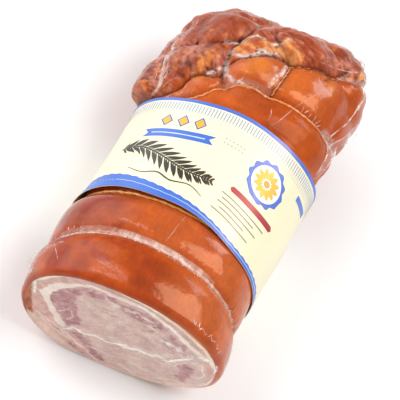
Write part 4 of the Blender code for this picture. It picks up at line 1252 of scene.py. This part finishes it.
def ridge(runs, angle, half_width, height, seed):
    """A fine pleat of film standing on the meat: its points in rows, and how white it is."""
    root, ways = laid(runs, angle)
    if len(runs) > 12:
        root = smoothed(root, 5)
    side = unit(np.cross(ways, np.gradient(root, axis=0)))
    taper = np.sin(math.pi * np.linspace(0, 1, len(runs))) ** 0.5 * (1 + 0.5 * noise(root, 4 * MM, seed))
    across = np.linspace(-1, 1, 5)
    peak = (1 - np.abs(across))[:, None] * taper
    rows = root + MM * (
        side * (across[:, None] * half_width * taper)[..., None] + ways * (0.25 + height * peak)[..., None]
    )
    return rows, np.clip(0.35 + 0.65 * peak + 0.3 * noise(rows, 2 * MM, 93), 0, 1)


def add_film(name, pieces, node=None, paint=FILM_PAINT):
    """Grids of points and their whiteness, joined into one piece of film."""
    points, faces, white, start = [], [], [], 0
    for rows, shade in pieces:
        points.append(rows.reshape(-1, 3))
        white.append(shade.ravel())
        faces.append(band_faces(*rows.shape[:2], closed_columns=False) + start)
        start += len(points[-1])
    piece = add_mesh(name, np.concatenate(points), np.concatenate(faces), paint,
                     values={"fold": np.concatenate(white)})
    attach(piece, "root")
    if node:
        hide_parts(node)


def fine_creases(name, creases, paint):
    """Long pleats of film that wander a little."""
    pieces = []
    for seed, (half_width, height, whiteness, places) in enumerate(creases):
        runs, angle = smooth_path(places, 14 * len(places))
        wander = np.linspace(0, 9, len(runs))
        wander = noise(np.column_stack([wander, wander * 0, wander * 0 + seed]), 1.0, 95)
        rows, white = ridge(runs, angle + math.radians(0.3) * wander, half_width, height, 300 + seed)
        pieces.append((rows, white * whiteness))
    add_film(name, pieces, paint=paint)


def fine_ticks():
    """Short pleats across the twine and the rim, drawn at random with a fixed seed."""
    draw = np.random.default_rng(7)
    pieces = []
    for first, last, station, count, length in FILM_TICKS:
        for angle in np.linspace(first, last, count) + draw.uniform(-0.8, 0.8, count):
            start = station + draw.uniform(-1.2, 1.2)
            reach = length * draw.uniform(0.5, 1.2) / 2
            lean = draw.uniform(-1.6, 1.6)
            places = ((angle - lean, start - reach), (angle, start), (angle + lean, start + reach))
            pieces.append(ridge(*smooth_path(places, 9), 0.32, 0.35, 400))
    add_film("film_ticks", pieces)


def crumpled_knots():
    """Small gathered knots of film, domed and uneven."""
    pieces = []
    turn, share = np.meshgrid(np.linspace(0, 2 * math.pi, 29), np.linspace(0, 1, 8))
    flat = np.stack([np.cos(turn) * share, np.sin(turn) * share, share * 0], -1)
    for seed, (angle, station, radius) in enumerate(FILM_KNOTS):
        runs, turned = run_of(np.array([station * MM])), np.radians([float(angle)])
        way = ways_out(np.maximum(runs, 4 * MM), turned)[0]
        middle = dropped(skin(np.maximum(runs, 2 * MM), turned), way[None])[0]
        middle = middle + np.array([0, min(station, 2) * MM - 2 * MM, 0])
        side = np.cross(way, (0, 1.0, 0))
        ahead = np.cross(side, way)
        spread = flat[..., :1] * unit(side) + flat[..., 1:2] * ahead
        reach = 1 + 0.35 * noise(flat * 3 + seed, 1.0, 97)
        lift = 0.42 * (1 - share**2) + 0.22 * noise(flat * 4 + seed, 1.0, 98)
        rows = middle + radius * MM * (spread * reach[..., None] + way * lift[..., None])
        white = 0.9 - 0.6 * share**2 + 0.5 * noise(flat * 9, 1.0, 99)
        pieces.append((rows, np.clip(white, 0.1, 1)))
    add_film("film_knots", pieces)


def bridging_film():
    """Film stretched over the waists that the twine pulls in."""
    pieces = []
    across = np.linspace(0, 1, 11)[:, None]
    hump = 4 * across * (1 - across)
    share, dip = across[..., None], 0.45 * hump[..., None] ** 1.5
    for tie, first, last, before, after, white in BRIDGES:
        angle = np.radians(np.linspace(first, last, max(60, int(abs(last - first) * 4))))
        middle = tie_run(tie, angle)
        start, end = (smoothed(laid(middle + away * MM, angle, 0.25 * MM)[0], 3) for away in (before, after))
        floor, ways = laid(middle, angle, 0.5 * MM)
        rows = (start * (1 - share) + end * share) * (1 - dip) + floor * dip
        crumple = 0.9 * noise(rows * (0.2, 1, 0.2), 1.2 * MM, 101)
        crumple = crumple + 0.5 * noise(rows * (1, 0.4, 1), 2.6 * MM, 102)
        rows = rows + ways * (0.22 * MM * crumple * hump)[..., None]
        fade = hump**0.4 * np.sin(math.pi * np.linspace(0, 1, len(angle))) ** 0.4
        pieces.append((rows, np.clip(white * fade * (0.95 + 0.45 * crumple), 0, 1)))
    add_film("film_over_waists", pieces, paint=VEIL_PAINT)


def build_fin(name, node, places, lean):
    """A free fold of film that stands off the roll."""
    station, angle, height = curve(places, 160).T
    root, ways = laid(run_of(station * MM), np.radians(angle), 0.3 * MM)
    root = smoothed(root, 5)
    height = np.maximum(height, 0.5) * MM
    out = unit(ways + np.array(lean, float))
    side = unit(np.cross(out, np.gradient(root, axis=0)))
    across = np.linspace(0, 1, 14)
    place = np.linspace(0, 24, 160)
    rows = []
    for share in across:
        ripple = 0.9 * MM * share * noise(np.column_stack([place, place * 0 + share * 2, place * 0]), 1.0, 91)
        rows.append(root + out * (height * share)[:, None] + side * ripple[:, None])
    rows = np.array(rows)
    hems = (np.abs(across - 0.5) * 2)[:, None] ** 4
    white = 0.12 + 0.75 * hems + 0.35 * np.clip(noise(rows, 4 * MM, 92), 0, 1)
    add_film(name, [(rows, np.clip(white, 0, 1))], node)


fine_creases("film_creases", FILM_CREASES, FILM_PAINT)
fine_creases("film_sweeps", FILM_SWEEPS, VEIL_PAINT)
fine_ticks()
crumpled_knots()
bridging_film()
build_fin("clear_fin_right", "film_fin_right", FILM_RIGHT, (0.6, 0, -0.2))
build_fin("clear_fin_left", "film_fin_left", FILM_LEFT, (-0.3, 0, 0.5))
build_fin("clear_fin_front", "film_fin_front", FILM_FRONT, (-0.6, -0.5, 0))
build_fin("clear_ear_back", "film_ear_back", FILM_EAR, (0, 2.5, -0.6))

# Floor, light and camera
FLOOR_HALF, FLOOR_DROP, LIT_POINT = 4.0, 0.4 * MM, Vector((0, 0, 80 * MM))
WHITE, WARM = (1.0, 1.0, 1.0), (1.0, 0.64, 0.42)
# Name, way, distance, width and height, power, colour, and whether it is mirrored or else only lights
LAMPS = (
    ("softbox_right", (0.505, 0.248, 0.827), 1.3, (0.64, 1.05), 22.5, WARM, True),
    ("softbox_behind", (0.5, 0.75, 0.44), 1.3, (0.42, 0.5), 4.6, WHITE, True),
    ("softbox_left", (-0.5, 0.12, 0.86), 1.3, (0.06, 0.7), 1.3, WHITE, True),
    ("key_above_left", (-0.6, -0.12, 0.78), 1.7, (0.9, 0.9), 8.5, WHITE, False),
    ("fill_above_right", (0.45, 0.15, 0.88), 1.4, (1.0, 1.0), 14.8, WHITE, False),
    ("fill_front", (0.1, -0.8, 0.6), 1.6, (1.1, 1.1), 6.2, WHITE, False),
)

corners = [(x * FLOOR_HALF, y * FLOOR_HALF, -FLOOR_DROP) for x, y in ((-1, -1), (1, -1), (1, 1), (-1, 1))]
floor_mesh = bpy.data.meshes.new("floor")
floor_mesh.from_pydata(corners, [], [(0, 1, 2, 3)])
floor_paint = Paint("floor_white", Roughness=0.9, Base_Color=(0.97, 0.97, 0.97, 1), Specular_IOR_Level=0.0)
floor_mesh.materials.append(floor_paint.material)
floor = add_thing("floor", floor_mesh)

for name, way, distance, size, power, colour, mirrored in LAMPS:
    light = bpy.data.lights.new(name, "AREA")
    light.shape = "RECTANGLE"
    light.size, light.size_y = size
    light.energy = power
    light.color = colour
    way = Vector(way).normalized()
    lamp = add_thing(name, light)
    lamp.location = LIT_POINT + way * distance
    lamp.rotation_euler = way.to_track_quat("Z", "Y").to_euler()
    lamp.visible_glossy = mirrored
    lamp.visible_diffuse = not mirrored

# The studio round it: even and pale, with a broad glow low at the left that the film mirrors
GLOW_WAY = Vector((-0.88, 0.28, 0.38)).normalized()
world = bpy.data.worlds.new("studio")
world.use_nodes = True
sky = world.node_tree
sky.nodes["Background"].inputs["Color"].default_value = (1, 1, 1, 1)
towards = sky.nodes.new("ShaderNodeVectorMath")
towards.operation = "DOT_PRODUCT"
towards.inputs[1].default_value = GLOW_WAY
sky.links.new(sky.nodes.new("ShaderNodeTexCoord").outputs["Generated"], towards.inputs[0])
glow = sky.nodes.new("ShaderNodeMapRange")
glow.interpolation_type = "SMOOTHSTEP"
sky.links.new(towards.outputs["Value"], glow.inputs["Value"])
for key_name, number in (("From Min", 0.74), ("From Max", 0.99), ("To Min", 0.2), ("To Max", 2.6)):
    glow.inputs[key_name].default_value = number
sky.links.new(glow.outputs[0], sky.nodes["Background"].inputs["Strength"])
bpy.context.scene.world = world
bpy.context.scene.view_settings.view_transform = "Standard"

# The photograph's camera: it looks down on the roll from the cut end and is rolled over to the left
ELEVATION, ROLL, DISTANCE = math.radians(58.725), math.radians(30.104), 1.25
FOCAL, PHOTO_WIDTH, SENSOR = 1570.0, 400, 36  # in pixels of the photo, and in millimetres
TARGET = Vector((0.002932, 0.1368, 0.065)) - Vector(ORIGIN)
back_way = Vector((0, -math.cos(ELEVATION), math.sin(ELEVATION)))
right_way = Vector((1, 0, 0))
up_way = back_way.cross(right_way)
image_right = math.cos(ROLL) * right_way + math.sin(ROLL) * up_way
image_up = -math.sin(ROLL) * right_way + math.cos(ROLL) * up_way
pose = Matrix((image_right, image_up, back_way)).transposed().to_4x4()
pose.translation = TARGET + back_way * DISTANCE
camera = add_thing("camera", bpy.data.cameras.new("camera"))
camera.matrix_world = pose
camera.data.sensor_width = SENSOR
camera.data.lens = FOCAL / PHOTO_WIDTH * SENSOR
camera.data.clip_start = 0.01
bpy.context.scene.camera = camera
